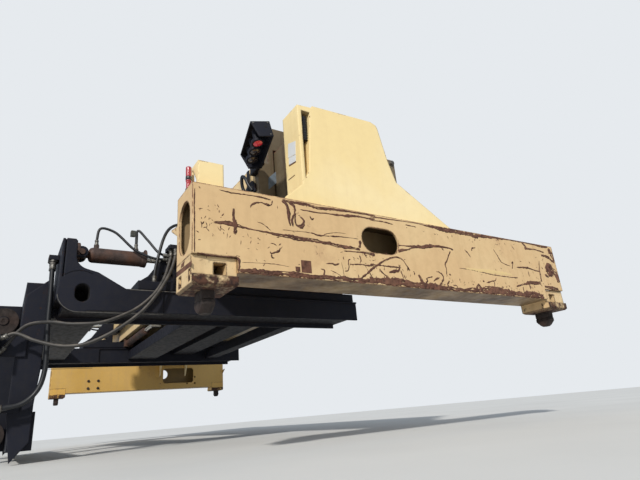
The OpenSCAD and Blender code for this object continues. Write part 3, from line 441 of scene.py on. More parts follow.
class Graph:
    """Adds nodes to one material or world and links them; each pattern is a method that joins several."""

    def __init__(self, owner: bpy.types.Material | bpy.types.World) -> None:
        """Empties the node tree that it will fill.

        Args:
            owner: What has the tree.
        """
        self.owner = owner
        owner.use_nodes = True
        self.tree = owner.node_tree
        self.tree.nodes.clear()

    def add(
        self, kind: str, inputs: dict | Sequence = (), out: str | int = 0, **settings: str | int
    ) -> Socket | None:
        """Adds a node; an input that is a socket is linked, anything else is set.

        Args:
            kind: Its type, without the word ShaderNode.
            inputs: Values or sockets by input name or number, or one after another from the first input.
            out: The output that is wanted.
            settings: The node's own properties.

        Returns:
            The output, or None where the node has none.
        """
        node = self.tree.nodes.new("ShaderNode" + kind)
        for key, value in settings.items():
            setattr(node, key, value)
        for key, value in inputs.items() if isinstance(inputs, dict) else enumerate(inputs):
            if isinstance(value, Socket):
                self.tree.links.new(value, node.inputs[key])
            else:
                node.inputs[key].default_value = value
        return node.outputs[out] if node.outputs else None

    @cached_property
    def place(self) -> Socket:
        """Object coordinates, which every pattern follows."""
        return self.add("TexCoord", out="Object")

    def clouds(self, kind: Clouds, at: Socket | None = None) -> Socket:
        """Draws cloudy noise: 0 up to its low limit, 1 from its high limit, and evenly between.

        Args:
            kind: Its size and limits.
            at: Coordinates, if not the object's own.

        Returns:
            The share.
        """
        inputs = {"Scale": kind.scale, "Detail": kind.detail, "Roughness": kind.rough}
        noise = self.add("TexNoise", {"Vector": at or self.place, **inputs})
        return self.add("MapRange", (noise, kind.low, kind.high))

    def all_of(self, *shares: Socket | float) -> Socket:
        """Where every share holds: their product."""
        return reduce(lambda a, b: self.add("Math", (a, b), operation="MULTIPLY"), shares)

    def any_of(self, *shares: Socket | float) -> Socket:
        """Where any share holds: the largest of them."""
        return reduce(lambda a, b: self.add("Math", (a, b), operation="MAXIMUM"), shares)

    def layer(self, under: str | Socket, over: str | Socket, *shares: Socket | float) -> Socket:
        """Lays one colour over another, as far as the product of the shares says.

        Args:
            under: Colour below, as a hex code or a socket.
            over: Colour above.
            shares: How much of the upper one shows.

        Returns:
            The mixed colour.
        """
        first, second = (linear(color) if isinstance(color, str) else color for color in (under, over))
        return self.add("Mix", {0: self.all_of(*shares), 6: first, 7: second}, 2, data_type="RGBA")

    def edges(self, reach: float) -> tuple[Socket, Socket]:
        """Finds the solid's edges: the share rises as a rounded surface turns away from the flat one.

        Args:
            reach: How far from the edge it starts, in metres.

        Returns:
            The share, and the rounded surface direction.
        """
        rounded = self.add("Bevel", {"Radius": reach}, samples=6)
        flat = self.add("NewGeometry", out="Normal")
        agree = self.add("VectorMath", (rounded, flat), "Value", operation="DOT_PRODUCT")
        return self.add("MapRange", (agree, *EDGE_TURN)), rounded

    def facing(self, low: float, high: float) -> Socket:
        """Tells how the surface faces, by the height of its direction: 0 at low to 1 at high."""
        upright = self.add("SeparateXYZ", (self.add("NewGeometry", out="Normal"),), "Z")
        return self.add("MapRange", (upright, low, high))

    def inside(self, hollow: Sequence[float]) -> Socket:
        """Finds a hollow at either end of the spreader: 1 inside all its walls, 0 outside one of them.

        Args:
            hollow: Lowest and highest x, half length in y, lowest and highest z.

        Returns:
            The share.
        """
        x_low, x_high, y_half, z_low, z_high = hollow
        x, y, z = (self.add("SeparateXYZ", (self.place,), axis) for axis in "XYZ")
        x = self.add("Math", (x,), operation="ABSOLUTE")
        y = self.add("Math", (self.add("Math", (y, SPREADER_Y), operation="SUBTRACT"),), operation="ABSOLUTE")
        walls = ((x, x_low, MM), (x, x_high, -MM), (y, y_half, -MM), (z, z_low, MM), (z, z_high, -MM))
        return self.all_of(*(self.add("MapRange", (value, wall, wall + step)) for value, wall, step in walls))

    def finish(
        self, color: Socket, roughness: Socket | float, height: Socket | None = None,
        normal: Socket | None = None, depth: float = MM, **constants: float | Color,
    ) -> bpy.types.Material:
        """Joins colour, roughness and relief to the surface.

        Args:
            color: Colour.
            roughness: Roughness.
            height: Relief, from 0 to 1.
            normal: Surface direction that the relief starts from, if not the mesh's own.
            depth: Height of the relief in metres.
            constants: Other inputs of the shader, with _ for a space.

        Returns:
            The material.
        """
        inputs = {"Base Color": color, "Roughness": roughness}
        inputs.update({key.replace("_", " "): value for key, value in constants.items()})
        if height is not None:
            relief = {"Height": height, "Distance": depth, "Strength": 1.0}
            if normal is not None:
                relief["Normal"] = normal
            inputs["Normal"] = self.add("Bump", relief)
        self.add("OutputMaterial", {"Surface": self.add("BsdfPrincipled", inputs)})
        return self.owner


HOLLOW_SHADE = "#171310"  # painted shade: what the eye sees in an unlit hollow
LENS_DIRT = "#3A2A24"
EDGE_TURN = (0.995, 0.88)  # cosines between rounded and flat surface where wear starts and where it is full
PAINT_EDGE, METAL_EDGE = 11 * MM, 4 * MM  # reach of the wear along edges, on plate and on small parts
WORN_ROUGH, DUST_ROUGH = 0.86, 0.85  # roughness of bare rust and of dust
LOOKS_DOWN = (-0.35, -0.8)  # height of a surface's direction where it starts to look down, and where it does
FACING_DUST_AND_HIGHLIGHT = (-0.2, 0.9)  # the same for dust, and on the supply hoses a painted highlight, on what looks up

# Patterns of the paint, each with the size that it has on the object.
FADING = Clouds(1.4, low=0.4, high=0.6)  # 700 mm: whole panels bleached unlike each other
FINE_DIRT = Clouds(26.0, 6.0, 0.65, 0.42, 0.7)  # 40 mm blotches: grease and hands; they also dull the gloss
RUN_OFF = Clouds(1.0, 5.0, 0.6, 0.5, 0.72)  # stretched as RUN_SHAPE says
RUN_SHAPE = (17.0, 17.0, 0.9)  # 60 mm between streaks that run down for 1.1 m
UNDER_SHADE_PATCHES = Clouds(4.5, 5.0, 0.62, 0.32, 0.66)  # 220 mm: patches that make the painted shade on what looks down uneven
FLAKES = Clouds(21.0, 7.0, 0.7, 0.66, 0.70)  # 48 mm: paint gone from the edges in ragged bites
RUST_AREAS = Clouds(1.9, 3.0, low=0.66, high=0.74)  # 530 mm: where the spots gather
SPOTS = Clouds(31.0, 8.0, 0.68, 0.6, 0.66)  # 32 mm rust spots, drawn at twice their size so that they show
SPECKS = Clouds(75.0, 5.0, 0.6, 0.68, 0.72)  # 13 mm pinholes; real ones are finer and wouldn't show
HALO = Clouds(12.0, 6.0, 0.6, 0.52, 0.75)  # 83 mm: rust washed out of the spots into the paint
RUST_TONES = Clouds(55.0, 6.0, low=0.4, high=0.62)  # 18 mm: new and old rust side by side
ORANGE_PEEL = Clouds(140.0, 3.0)  # 7 mm ripple of sprayed paint, three times its real size so that it shows
WORN_LINE = Clouds(14.0, 5.0)  # 70 mm waves in the line up to which the feet are bare
WORN_FEET = Clouds(17.0, 6.0, 0.7, 0.34, 0.5)  # 60 mm islands of paint that are left below it
UNDER_LEAST = 0.55  # least painted shade on an underside, against the most
HALO_SHARE = 0.35  # most of the washed-out rust that shows
DIRT_DULLS = 0.5  # how far fine dirt takes the gloss, against bare rust
PAINT_RELIEF = 1.2 * MM  # depth of the paint's relief
PEEL_HEIGHT, RUST_DEPTH = 0.25, 0.7  # its ripple, and the step down to rust, in shares of that depth
FLAKE_GAIN = (0.28, 0.22)  # how far full edge wear lowers the limits of the flakes
AREA_GAIN = 0.22  # how far full rust lowers the limits of its areas
LINE_WAVE, LINE_FADE = 12 * MM, 4 * MM  # how far the line of the bare feet wanders, and how soft it is
NOT_ENDWAYS = (0.85, 0.6)  # faces that look along Y beyond the first stay painted, below the second they wear

# Patterns of metal, in lumps for each lump of its grain.
METAL_CLOUD = Clouds(1.0, 7.0, 0.62, 0.36, 0.66)
METAL_STAIN = Clouds(0.35, 5.0, low=0.48, high=0.66)
METAL_RELIEF = Clouds(8.0)
METAL_DEPTH, EDGE_GLINT = 0.6 * MM, 0.35  # height of the relief, and how light the edges are rubbed

# Patterns of rubber and lenses.
DUST_AND_HIGHLIGHT_PATCHES = Clouds(14.0, 6.0, 0.6, 0.35, 0.7)  # 70 mm: dust and painted highlight lie unevenly
RUBBER_GRAIN = Clouds(420.0, 2.0)  # 2.4 mm grain of a moulded skin, coarse enough to break up the shine
SMUDGES = Clouds(60.0, 5.0, low=0.5, high=0.75)  # 17 mm
LENS_WAVES = Clouds(200.0, 2.0)  # 5 mm ripple that makes the shine of the plastic lively
RUBBER_DEPTH, LENS_DEPTH = 0.3 * MM, 0.2 * MM
CLEAN_LENS, SMUDGED_LENS, LENS_COAT = 0.12, 0.5, 0.08  # roughness
SMUDGE_SHARE = 0.35


@dataclass(frozen=True)
class PaintFinish:
    """Sprayed paint on plate steel that has weathered, been scraped and rusted.

    Attributes:
        name: Name of the material.
        base: Colour where it is least faded.
        faded: Colour where the sun has bleached it.
        grime: Colour of dirt and run-off.
        rust: Main rust colour.
        deep: Rust colour in the middle of a patch.
        under: Colour of the painted shade on faces that look down.
        under_shade_share: Most that this painted shade covers.
        streaks: Strength of the run-off.
        dusty: Strength of the fine dirt.
        rusty: Share of the area where spots lie, from 0 to 1.
        edge_wear: How far rust shows along edges, from 0 to 1.
        gloss: Roughness of sound paint.
        shine: Strength of the mirror-like share, 0.5 for a full gloss.
        rusted_below: Height below which the paint has gone, in metres.
        cavity: Lowest and highest x, half length in y, lowest and highest z of a hollow filled with painted
            shade, in metres.
    """

    name: str
    base: str
    faded: str
    grime: str
    rust: str = "#7A4636"
    deep: str = "#4C2A26"
    under: str = "#452E15"
    under_shade_share: float = 0.8
    streaks: float = 0.25
    dusty: float = 0.22
    rusty: float = 0.3
    edge_wear: float = 0.6
    gloss: float = 0.42
    shine: float = 0.4
    rusted_below: float | None = None
    cavity: tuple[float, float, float, float, float] | None = None

    def make(self) -> bpy.types.Material:
        """Builds the material: weathered paint, rust over it, and painted shade where a hollow is.

        Returns:
            The material.
        """
        g = Graph(bpy.data.materials.new(self.name))
        edge, rounded = g.edges(PAINT_EDGE)
        dirt = g.clouds(FINE_DIRT)
        areas = g.clouds(RUST_AREAS.lowered(AREA_GAIN * self.rusty, AREA_GAIN * self.rusty))
        bare = self._bare(g, edge, areas)
        paint = g.layer(self._weathered(g, dirt), self.rust, g.clouds(HALO), g.all_of(areas, HALO_SHARE))
        color = g.layer(paint, g.layer(self.rust, self.deep, g.clouds(RUST_TONES)), bare)
        # Painted shade: inside the hollow the colour turns near black.
        if self.cavity is not None:
            color = g.layer(color, HOLLOW_SHADE, g.inside(self.cavity))
        dull = g.any_of(bare, g.all_of(dirt, DIRT_DULLS))
        rough = g.add("MapRange", {"Value": dull, "To Min": self.gloss, "To Max": WORN_ROUGH})
        peel, step_down = g.all_of(g.clouds(ORANGE_PEEL), PEEL_HEIGHT), g.all_of(bare, RUST_DEPTH)
        relief = g.add("Math", (peel, step_down), operation="SUBTRACT")
        return g.finish(color, rough, relief, rounded, PAINT_RELIEF, Specular_IOR_Level=self.shine)

    def _weathered(self, g: Graph, dirt: Socket) -> Socket:
        """Colours the paint: bleached in patches, then dirt and run-off, and painted shade on the undersides
        over it.

        Args:
            g: The material's nodes.
            dirt: Share of the fine dirt.

        Returns:
            The colour.
        """
        paint = g.layer(self.base, self.faded, g.clouds(FADING))
        paint = g.layer(paint, self.grime, dirt, self.dusty)
        run_shape = g.add("Mapping", {"Vector": g.place, "Scale": RUN_SHAPE}, vector_type="POINT")
        paint = g.layer(paint, self.grime, g.clouds(RUN_OFF, run_shape), self.streaks)
        # Painted shade: faces that look down are darkened towards the under colour, unevenly in patches.
        most, least = self.under_shade_share, self.under_shade_share * UNDER_LEAST
        uneven = g.add("MapRange", {"Value": g.clouds(UNDER_SHADE_PATCHES), "To Min": least, "To Max": most})
        return g.layer(paint, self.under, g.facing(*LOOKS_DOWN), uneven)

    def _bare(self, g: Graph, edge: Socket, areas: Socket) -> Socket:
        """Finds where the paint has gone: flaked edges, spots in rusty areas, specks, and worn feet.

        Args:
            g: The material's nodes.
            edge: Share of the solid's edges.
            areas: Share of the rusty areas.

        Returns:
            The share.
        """
        flakes = g.all_of(edge, g.clouds(FLAKES.lowered(*(gain * self.edge_wear for gain in FLAKE_GAIN))))
        spots = g.all_of(areas, g.clouds(SPOTS))
        bare = g.any_of(flakes, spots, g.all_of(g.clouds(SPECKS), self.rusty))
        if self.rusted_below is None:
            return bare
        wander = g.add("MapRange", {"Value": g.clouds(WORN_LINE), "To Min": -LINE_WAVE, "To Max": LINE_WAVE})
        height = g.add("Math", (g.add("SeparateXYZ", (g.place,), "Z"), wander), operation="ADD")
        below = g.add("MapRange", (height, self.rusted_below + LINE_FADE, self.rusted_below - LINE_FADE))
        flat = g.add("NewGeometry", out="Normal")
        endways = g.add("Math", (g.add("SeparateXYZ", (flat,), "Y"),), operation="ABSOLUTE")
        rubbed = g.add("MapRange", (endways, *NOT_ENDWAYS))
        return g.any_of(bare, g.all_of(g.clouds(WORN_FEET), rubbed, below))


@dataclass(frozen=True)
class MetalFinish:
    """Bare or rusted metal: two colours in a cloudy mix, with a third in streaks.

    Attributes:
        name: Name of the material.
        light: Lighter colour.
        dark: Darker colour.
        stain: Colour of the streaks.
        metallic: 1 for bright metal, 0 for rust and paint.
        rough: Roughness of the lighter and of the darker parts.
        stained: Strength of the streaks.
        grain: Lumps a metre.
    """

    name: str
    light: str
    dark: str
    stain: str
    metallic: float
    rough: tuple[float, float]
    stained: float = 0.4
    grain: float = 22.0

    def make(self) -> bpy.types.Material:
        """Builds the material: stains three times as coarse as the grain, and a relief eight times finer.

        Returns:
            The material.
        """
        g = Graph(bpy.data.materials.new(self.name))
        cloud, stains, relief = (
            g.clouds(kind.finer(self.grain)) for kind in (METAL_CLOUD, METAL_STAIN, METAL_RELIEF)
        )
        edge, rounded = g.edges(METAL_EDGE)
        color = g.layer(g.layer(self.light, self.dark, cloud), self.stain, stains, self.stained)
        color = g.layer(color, self.light, edge, EDGE_GLINT)
        rough_light, rough_dark = self.rough
        rough = g.add("MapRange", {"Value": cloud, "To Min": rough_light, "To Max": rough_dark})
        return g.finish(color, rough, relief, rounded, METAL_DEPTH, Metallic=self.metallic)


@dataclass(frozen=True)
class RubberFinish:
    """Rubber or moulded plastic, paler on what faces up: dust, and on the supply hoses a painted highlight.

    Attributes:
        name: Name of the material.
        base: Colour of the clean skin.
        dust_and_highlight: Colour of the dust, and on the supply hoses of the painted highlight.
        dusty: Most that the dust and highlight cover.
        rough: Roughness of the clean skin.
    """

    name: str
    base: str
    dust_and_highlight: str
    dusty: float
    rough: float

    def make(self) -> bpy.types.Material:
        """Builds the material: patches of dust on a grained skin.

        Returns:
            The material.
        """
        g = Graph(bpy.data.materials.new(self.name))
        # Paler on upward faces: dust, and on the supply hoses a painted highlight.
        dust_and_highlight = g.all_of(g.clouds(DUST_AND_HIGHLIGHT_PATCHES), g.facing(*FACING_DUST_AND_HIGHLIGHT))
        color = g.layer(self.base, self.dust_and_highlight, dust_and_highlight, self.dusty)
        rough = g.add("MapRange", {"Value": dust_and_highlight, "To Min": self.rough, "To Max": DUST_ROUGH})
        return g.finish(color, rough, g.clouds(RUBBER_GRAIN), depth=RUBBER_DEPTH)


@dataclass(frozen=True)
class LensFinish:
    """Coloured lamp lens, lit or dark.

    Attributes:
        name: Name of the material.
        base: Colour of the plastic.
        glow: Colour of the light.
        power: Strength of the light; 0 leaves it dark.
    """

    name: str
    base: str
    glow: str
    power: float

    def make(self) -> bpy.types.Material:
        """Builds the material: smudged plastic under a clear coat.

        Returns:
            The material.
        """
        g = Graph(bpy.data.materials.new(self.name))
        smudges = g.clouds(SMUDGES)
        color = g.layer(self.base, LENS_DIRT, smudges, SMUDGE_SHARE)
        rough = g.add("MapRange", {"Value": smudges, "To Min": CLEAN_LENS, "To Max": SMUDGED_LENS})
        return g.finish(
            color, rough, g.clouds(LENS_WAVES), depth=LENS_DEPTH, Emission_Color=linear(self.glow),
            Emission_Strength=self.power, Coat_Weight=1.0, Coat_Roughness=LENS_COAT,
        )


Finish = PaintFinish | MetalFinish | RubberFinish | LensFinish

# Inside of the end beams, behind their slots: filled with painted shade, so that it reads as deep and unlit.
BEAM_HOLLOW = (2.8560, 3.0280, 1.2075, 0.1565, 0.5005)
# The main colour: warm, chalky cream of long use in the sun, with rust at the edges.
CREAM = PaintFinish("faded_cream_paint", "#DDBF8E", "#E8D2A4", "#B4946A", rusty=0.45, edge_wear=0.6)
# The beam that takes the knocks: browner, with worn edges, and painted shade on its underside and in its
# hollow.
CREAM_WORN = replace(
    CREAM, name="scraped_cream_paint", base="#D6B586", faded="#E0C494", rusty=0.3, edge_wear=0.9,
    cavity=BEAM_HOLLOW, under="#3A2410", under_shade_share=0.95,
)
# Corner castings: cream above, rubbed to dark rust where they meet the container.
CREAM_CASTING = replace(
    CREAM, name="chipped_cream_on_castings", base="#D6B586", rust="#553729", deep="#2E1F1A", rusty=0.8,
    edge_wear=1.0, rusted_below=0.132,
)
# The far beam and its castings: a deeper yellow than the near ones.
CREAM_DEEP = replace(
    CREAM, name="deep_yellow_paint", base="#C49C50", faded="#CFA960", rusty=0.35, edge_wear=0.5,
    cavity=BEAM_HOLLOW,
)
CASTING_DEEP = replace(
    CREAM_CASTING, name="chipped_deep_yellow_on_castings", base="#CFA14C", faded="#D8B062",
)
# The towers: lighter, cleaner and hardly rusted, like newer paint.
CREAM_CLEAN = replace(
    CREAM, name="sound_cream_paint", base="#F2DAA0", faded="#F6E2B0", streaks=0.1, dusty=0.08, rusty=0.12,
    edge_wear=0.35,
)
# Tubes and collars: the same paint gone grey-brown as painted shadow, with heavy streaks of grime, so that
# they sit back.
SHADOWED_BEIGE = replace(
    CREAM, name="beige_paint_in_painted_shadow", base="#685C48", faded="#746853", grime="#402C1A", streaks=0.7,
)
# Lifting arms: near black with a little blue and a low shine, and near-black painted shade underneath.
BLACK = PaintFinish(
    "satin_black_paint", "#181A22", "#1F212B", "#2E2C2B", rust="#3E2A20", deep="#241914", under="#110B09",
    under_shade_share=0.95, streaks=0.14, rusty=0.4, edge_wear=0.4, gloss=0.5, shine=0.16,
)
# Cylinder barrels: brown rust in 45 mm patches, quite matt.
BARREL = MetalFinish("rusty_brown_barrel", "#4E3D37", "#342A27", "#653F27", 0.0, (0.6, 0.85), 0.5, 22.0)
# Piston rods: bright and smooth, the only mirror on the object, dulled in 25 mm clouds.
CHROME = MetalFinish("hard_chrome", "#E2DDD2", "#BDBAB2", "#8E8A84", 0.7, (0.16, 0.28), 0.12, 40.0)
# Locks, pins and rollers: dark forged skin with 42 mm blotches of rust.
FORGED = MetalFinish("rusted_forging", "#30241F", "#18120F", "#462E23", 0.0, (0.65, 0.9), 0.4, 24.0)
# Bolts and hose fittings: grey plating in 17 mm clouds that still catches the light.
ZINC = MetalFinish("dull_plated_steel", "#7E7C77", "#55534F", "#4E4034", 0.85, (0.42, 0.65), 0.4, 60.0)
# Cast blocks of the same, weathered until they no longer shine.
ZINC_DULL = MetalFinish(
    "weathered_zinc_casting", "#565954", "#383A37", "#5A4A3C", 0.3, (0.5, 0.75), 0.35, 60.0,
)
# The blank patch: a grey-blue in 33 mm clouds that stands out cold against the cream.
BLUED = MetalFinish("dull_grey_paint", "#6E7B88", "#5A6773", "#8E7F66", 0.0, (0.45, 0.7), 0.2, 30.0)
# Scrapes, seams and the painted shadow in the gaps over the feet: red-brown steel in 26 mm patches, matt,
# under the paint.
SCRAPED = MetalFinish("scraped_rusty_steel", "#6E4735", "#3F261D", "#86604A", 0.0, (0.75, 0.95), 0.45, 38.0)
# Arm edges rubbed through the black to grey steel, in 20 mm clouds: a light line round a dark shape.
WORN_EDGE = MetalFinish("worn_black_edge", "#6E6B66", "#3C3B3A", "#565049", 0.1, (0.45, 0.7), 0.4, 50.0)
# Sliding pads: black and shiny with grease.
WEAR_PLASTIC = RubberFinish("greased_wear_plastic", "#17181C", "#4A3F31", 0.5, 0.3)
# Hoses: blue-black, with a little dust on top.
HOSE = RubberFinish("hose_rubber", "#0F1218", "#4A4A48", 0.3, 0.42)
# Supply hoses: the same rubber, pale on top with dust and a painted highlight.
HOSE_DUST_AND_HIGHLIGHT = RubberFinish("dusty_hose_rubber", "#282624", "#8B8278", 0.75, 0.5)
# Painted shade: near-black linings in holes, so that the opening reads as deep.
PAINTED_SHADE_LINING = RubberFinish("painted_shade_lining_plate", "#060505", "#16120E", 0.25, 0.85)
# The blank tags: the whitest thing on the object.
TAG = RubberFinish("blank_white_tag", "#D9DCDE", "#A79E8E", 0.4, 0.5)
# Streaks across the scrapes where the paint shows clean: flat and soft yellow.
WIPED = RubberFinish("wiped_yellow_paint", "#DCC088", "#D2B484", 0.4, 0.5)
# Lamps: one glows red, the others look almost black, and the beacons are red without light.
LENS_LIT = LensFinish("lit_red_lens", "#A8142A", "#E02A40", 0.18)
LENS_DIM = LensFinish("dim_red_lens", "#1E1214", "#FF3040", 0.0)
LENS_BEACON = LensFinish("red_beacon_lens", "#A02A34", "#FF3030", 0.02)

SLOT_FINISHES = {
    "black_paint": BLACK,
    "cream_paint": CREAM,
    "clean_cream_paint": CREAM_CLEAN,
    "rusty_barrel": BARREL,
    "chrome_rod": CHROME,
    "forged_steel": FORGED,
    "wear_plastic": WEAR_PLASTIC,
    "red_lens": LENS_BEACON,
    "hose_rubber": HOSE,
}
NODE_FINISHES = {
    "beam_right": CREAM_WORN,
    "corners_right": CREAM_CASTING,
    "beam_left": CREAM_DEEP,
    "corners_left": CASTING_DEEP,
    "lamp_lenses": LENS_DIM,
    # Collars and tubes take the finish with painted shadow.
    "collar_right": SHADOWED_BEIGE,
    "collar_left": SHADOWED_BEIGE,
    "tube_right": SHADOWED_BEIGE,
    "tube_left": SHADOWED_BEIGE,
}


class Paintbox:
    """Makes each finish once and hands out its material."""

    def __init__(self) -> None:
        """Starts with no finish made."""
        self.made: dict[str, bpy.types.Material] = {}

    def get(self, finish: Finish) -> bpy.types.Material:
        """Hands out the material of a finish, which is made when it is first wanted.

        Args:
            finish: The finish.

        Returns:
            The material.
        """
        if finish.name not in self.made:
            self.made[finish.name] = finish.make()
        return self.made[finish.name]

    def dress_nodes(self) -> None:
        """Gives every CAD node the material of its slot, or its own where one is named."""
        slots = {row["node"]: row["material_slot"] for row in frame["record"]["subparts"]}
        for name, node in frame["nodes"].items():
            finish = NODE_FINISHES.get(name, SLOT_FINISHES[slots[name]])
            node.data.materials.clear()
            node.data.materials.append(self.get(finish))


# ---------------------------------------------------------------- hoses


@dataclass(frozen=True)
class Route:
    """One hydraulic hose: where it runs, how thick it is and what holds its ends.

    Attributes:
        name: Name of the piece.
        node: CAD node that it stands for.
        points: Points along its middle line in millimetres.
        diameter: Outside diameter in metres.
        start_body: Body that holds its first end.
        end_body: Body that holds its last end.
        bend: Numbers of two points along it, or None where both ends ride together; only whether it is None
            is used, and a hose with numbers is left unattached to any body.
    """

    name: str
    node: str
    points: tuple[Point, ...]
    diameter: float
    start_body: str
    end_body: str
    bend: tuple[int, int] | None = None


# Points along each kind of hose, in millimetres; the riser's are moved sideways to its two places
SUPPLY_LOW = (
    (1250, -89.7, 105), (1250, -76, 105), (1268, -5, 212), (1300, 45, 256), (1395, 150, 262),
    (1478, 275, 237), (1522, 425, 240), (1530, 505, 266), (1522, 630, 332), (1518, 700, 390),
    (1510, 765, 466), (1480, 823, 575), (1456, 850, 655), (1446, 872, 740), (1446, 872, 789.7),
)
SUPPLY_HIGH = (
    (1285, -89.7, 182), (1285, -76, 182), (1300, -15, 206), (1362, 85, 158), (1440, 210, 112),
    (1472, 285, 104), (1500, 365, 116), (1538, 495, 178), (1556, 660, 308), (1540, 766, 444),
    (1512, 832, 560), (1484, 872, 648), (1470, 896, 740), (1470, 896, 789.7),
)
RISER = (
    (0, 150, 689.7), (0, 150, 620), (0, 155, 460), (0, 157, 300), (0, 165, 140), (0, 168, -20),
    (0, 140, -130), (0, 72, -200), (0, -20, -220), (0, -89.7, -220),
)
REAR_PORT = (
    (1273, 403, 830), (1273, 403, 880), (1278, 420, 958), (1296, 505, 940), (1344, 650, 798),
    (1374, 770, 742), (1388, 842, 735), (1388, 869.7, 735),
)
FRONT_PORT = (
    (1273, 667, 830), (1273, 667, 880), (1284, 672, 974), (1316, 735, 898), (1362, 810, 790),
    (1388, 848, 766), (1388, 869.7, 766),
)
FRAME_HOSE = (
    (1410, 770, 552.3), (1410, 770, 600), (1410, 780, 680), (1407, 800, 775), (1400, 826, 880),
    (1386, 856, 952), (1368, 892, 1000), (1342, 945, 1036), (1318, 1010, 1048), (1303, 1085, 1042),
    (1303, 1115, 1020), (1303, 1115, 990.3),
)


def shifted(points: Sequence[Point], x: float) -> tuple[Point, ...]:
    """Moves a route sideways by x millimetres."""
    return tuple((p[0] + x, p[1], p[2]) for p in points)


def flipped(points: Sequence[Point]) -> tuple[Point, ...]:
    """Mirrors a route in X."""
    return tuple((-p[0], p[1], p[2]) for p in points)


ROUTES = (
    Route("supply_hose_low", "supply_hoses", SUPPLY_LOW, 0.022, "lift_frame", "saddle", (3, 13)),
    Route("supply_hose_high", "supply_hoses", SUPPLY_HIGH, 0.022, "lift_frame", "saddle", (3, 12)),
    Route("riser_hose_inner", "riser_hoses", shifted(RISER, 1245), 0.028, "lift_frame", "lift_frame"),
    Route("riser_hose_outer", "riser_hoses", shifted(RISER, 1287), 0.028, "lift_frame", "lift_frame"),
    Route("rear_port_hose_right", "cylinder_hoses", REAR_PORT, 0.018, "lift_frame", "saddle", (1, 6)),
    Route("front_port_hose_right", "cylinder_hoses", FRONT_PORT, 0.018, "lift_frame", "saddle", (1, 5)),
    Route("rear_port_hose_left", "cylinder_hoses", flipped(REAR_PORT), 0.018, "lift_frame", "saddle", (1, 6)),
    Route(
        "front_port_hose_left", "cylinder_hoses", flipped(FRONT_PORT), 0.018, "lift_frame", "saddle", (1, 5)
    ),
    Route("frame_feed_hose", "frame_hose", FRAME_HOSE, 0.022, "saddle", "main_frame", (1, 10)),
)

# Nut, groove and crimped sleeve of a hose end: run from the end and radius, in hose diameters
FERRULE_RUN = (0, 0.0004, 0.30, 0.32, 0.36, 0.40, 0.42, 0.95, 1.0, 1.5, 1.55, 2.1, 2.2)
FERRULE_RADIUS = (0.55, 0.92, 0.92, 0.8, 0.62, 0.62, 0.72, 0.72, 0.66, 0.66, 0.72, 0.72, 0.5)


@dataclass
class HoseSet:
    """Every hydraulic hose with its crimped ends.

    Attributes:
        paints: The finishes.
        step: Distance between the rings of a hose.
        sides: Points round a hose.
        ferrule_sides: Points round a hose end.
    """

    paints: Paintbox
    step: float = 0.008
    sides: int = 14
    ferrule_sides: int = 12

    def build(self) -> None:
        """Makes the hoses, and for each body one piece with the fittings that it holds."""
        fittings: dict[str, list[Form]] = {}
        for route in ROUTES:
            path = smooth_path(np.array(route.points) * MM, self.step)
            self._hose(route, path)
            fittings.setdefault(route.start_body, []).append(self._ferrule(path, route.diameter))
            fittings.setdefault(route.end_body, []).append(self._ferrule(path[::-1], route.diameter))
        zinc = self.paints.get(ZINC)
        for body, forms in fittings.items():
            add_piece(f"hose_ferrules_{body}", merged(forms), zinc, body, sharp=30)

    def _hose(self, route: Route, path: np.ndarray) -> None:
        """Makes one hose, left unattached to any body where its ends are held by two.

        Args:
            route: The hose.
            path: Points along its middle line in metres.
        """
        bends = route.bend is not None
        rubber = self.paints.get(HOSE_DUST_AND_HIGHLIGHT if route.node == "supply_hoses" else HOSE)
        form = tube(path, route.diameter / 2, self.sides)
        piece = add_piece(route.name, form, rubber, None if bends else route.start_body)
        if bends:
            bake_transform(piece)
        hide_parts(route.node)

    def _ferrule(self, path: np.ndarray, diameter: float) -> Form:
        """Makes the fitting at a path's start; its radius steps along the first stretch of the path.

        Args:
            path: Points along the hose, from this end.
            diameter: The hose's diameter.

        Returns:
            The fitting.
        """
        run, radius = np.array(FERRULE_RUN) * diameter, np.array(FERRULE_RADIUS) * diameter
        along = np.concatenate([[0], np.cumsum(np.linalg.norm(np.diff(path, axis=0), axis=1))])
        middle = np.stack([np.interp(run, along, path[:, i]) for i in range(3)], axis=1)
        return tube(middle, radius, self.ferrule_sides)


# ---------------------------------------------------------------- studio


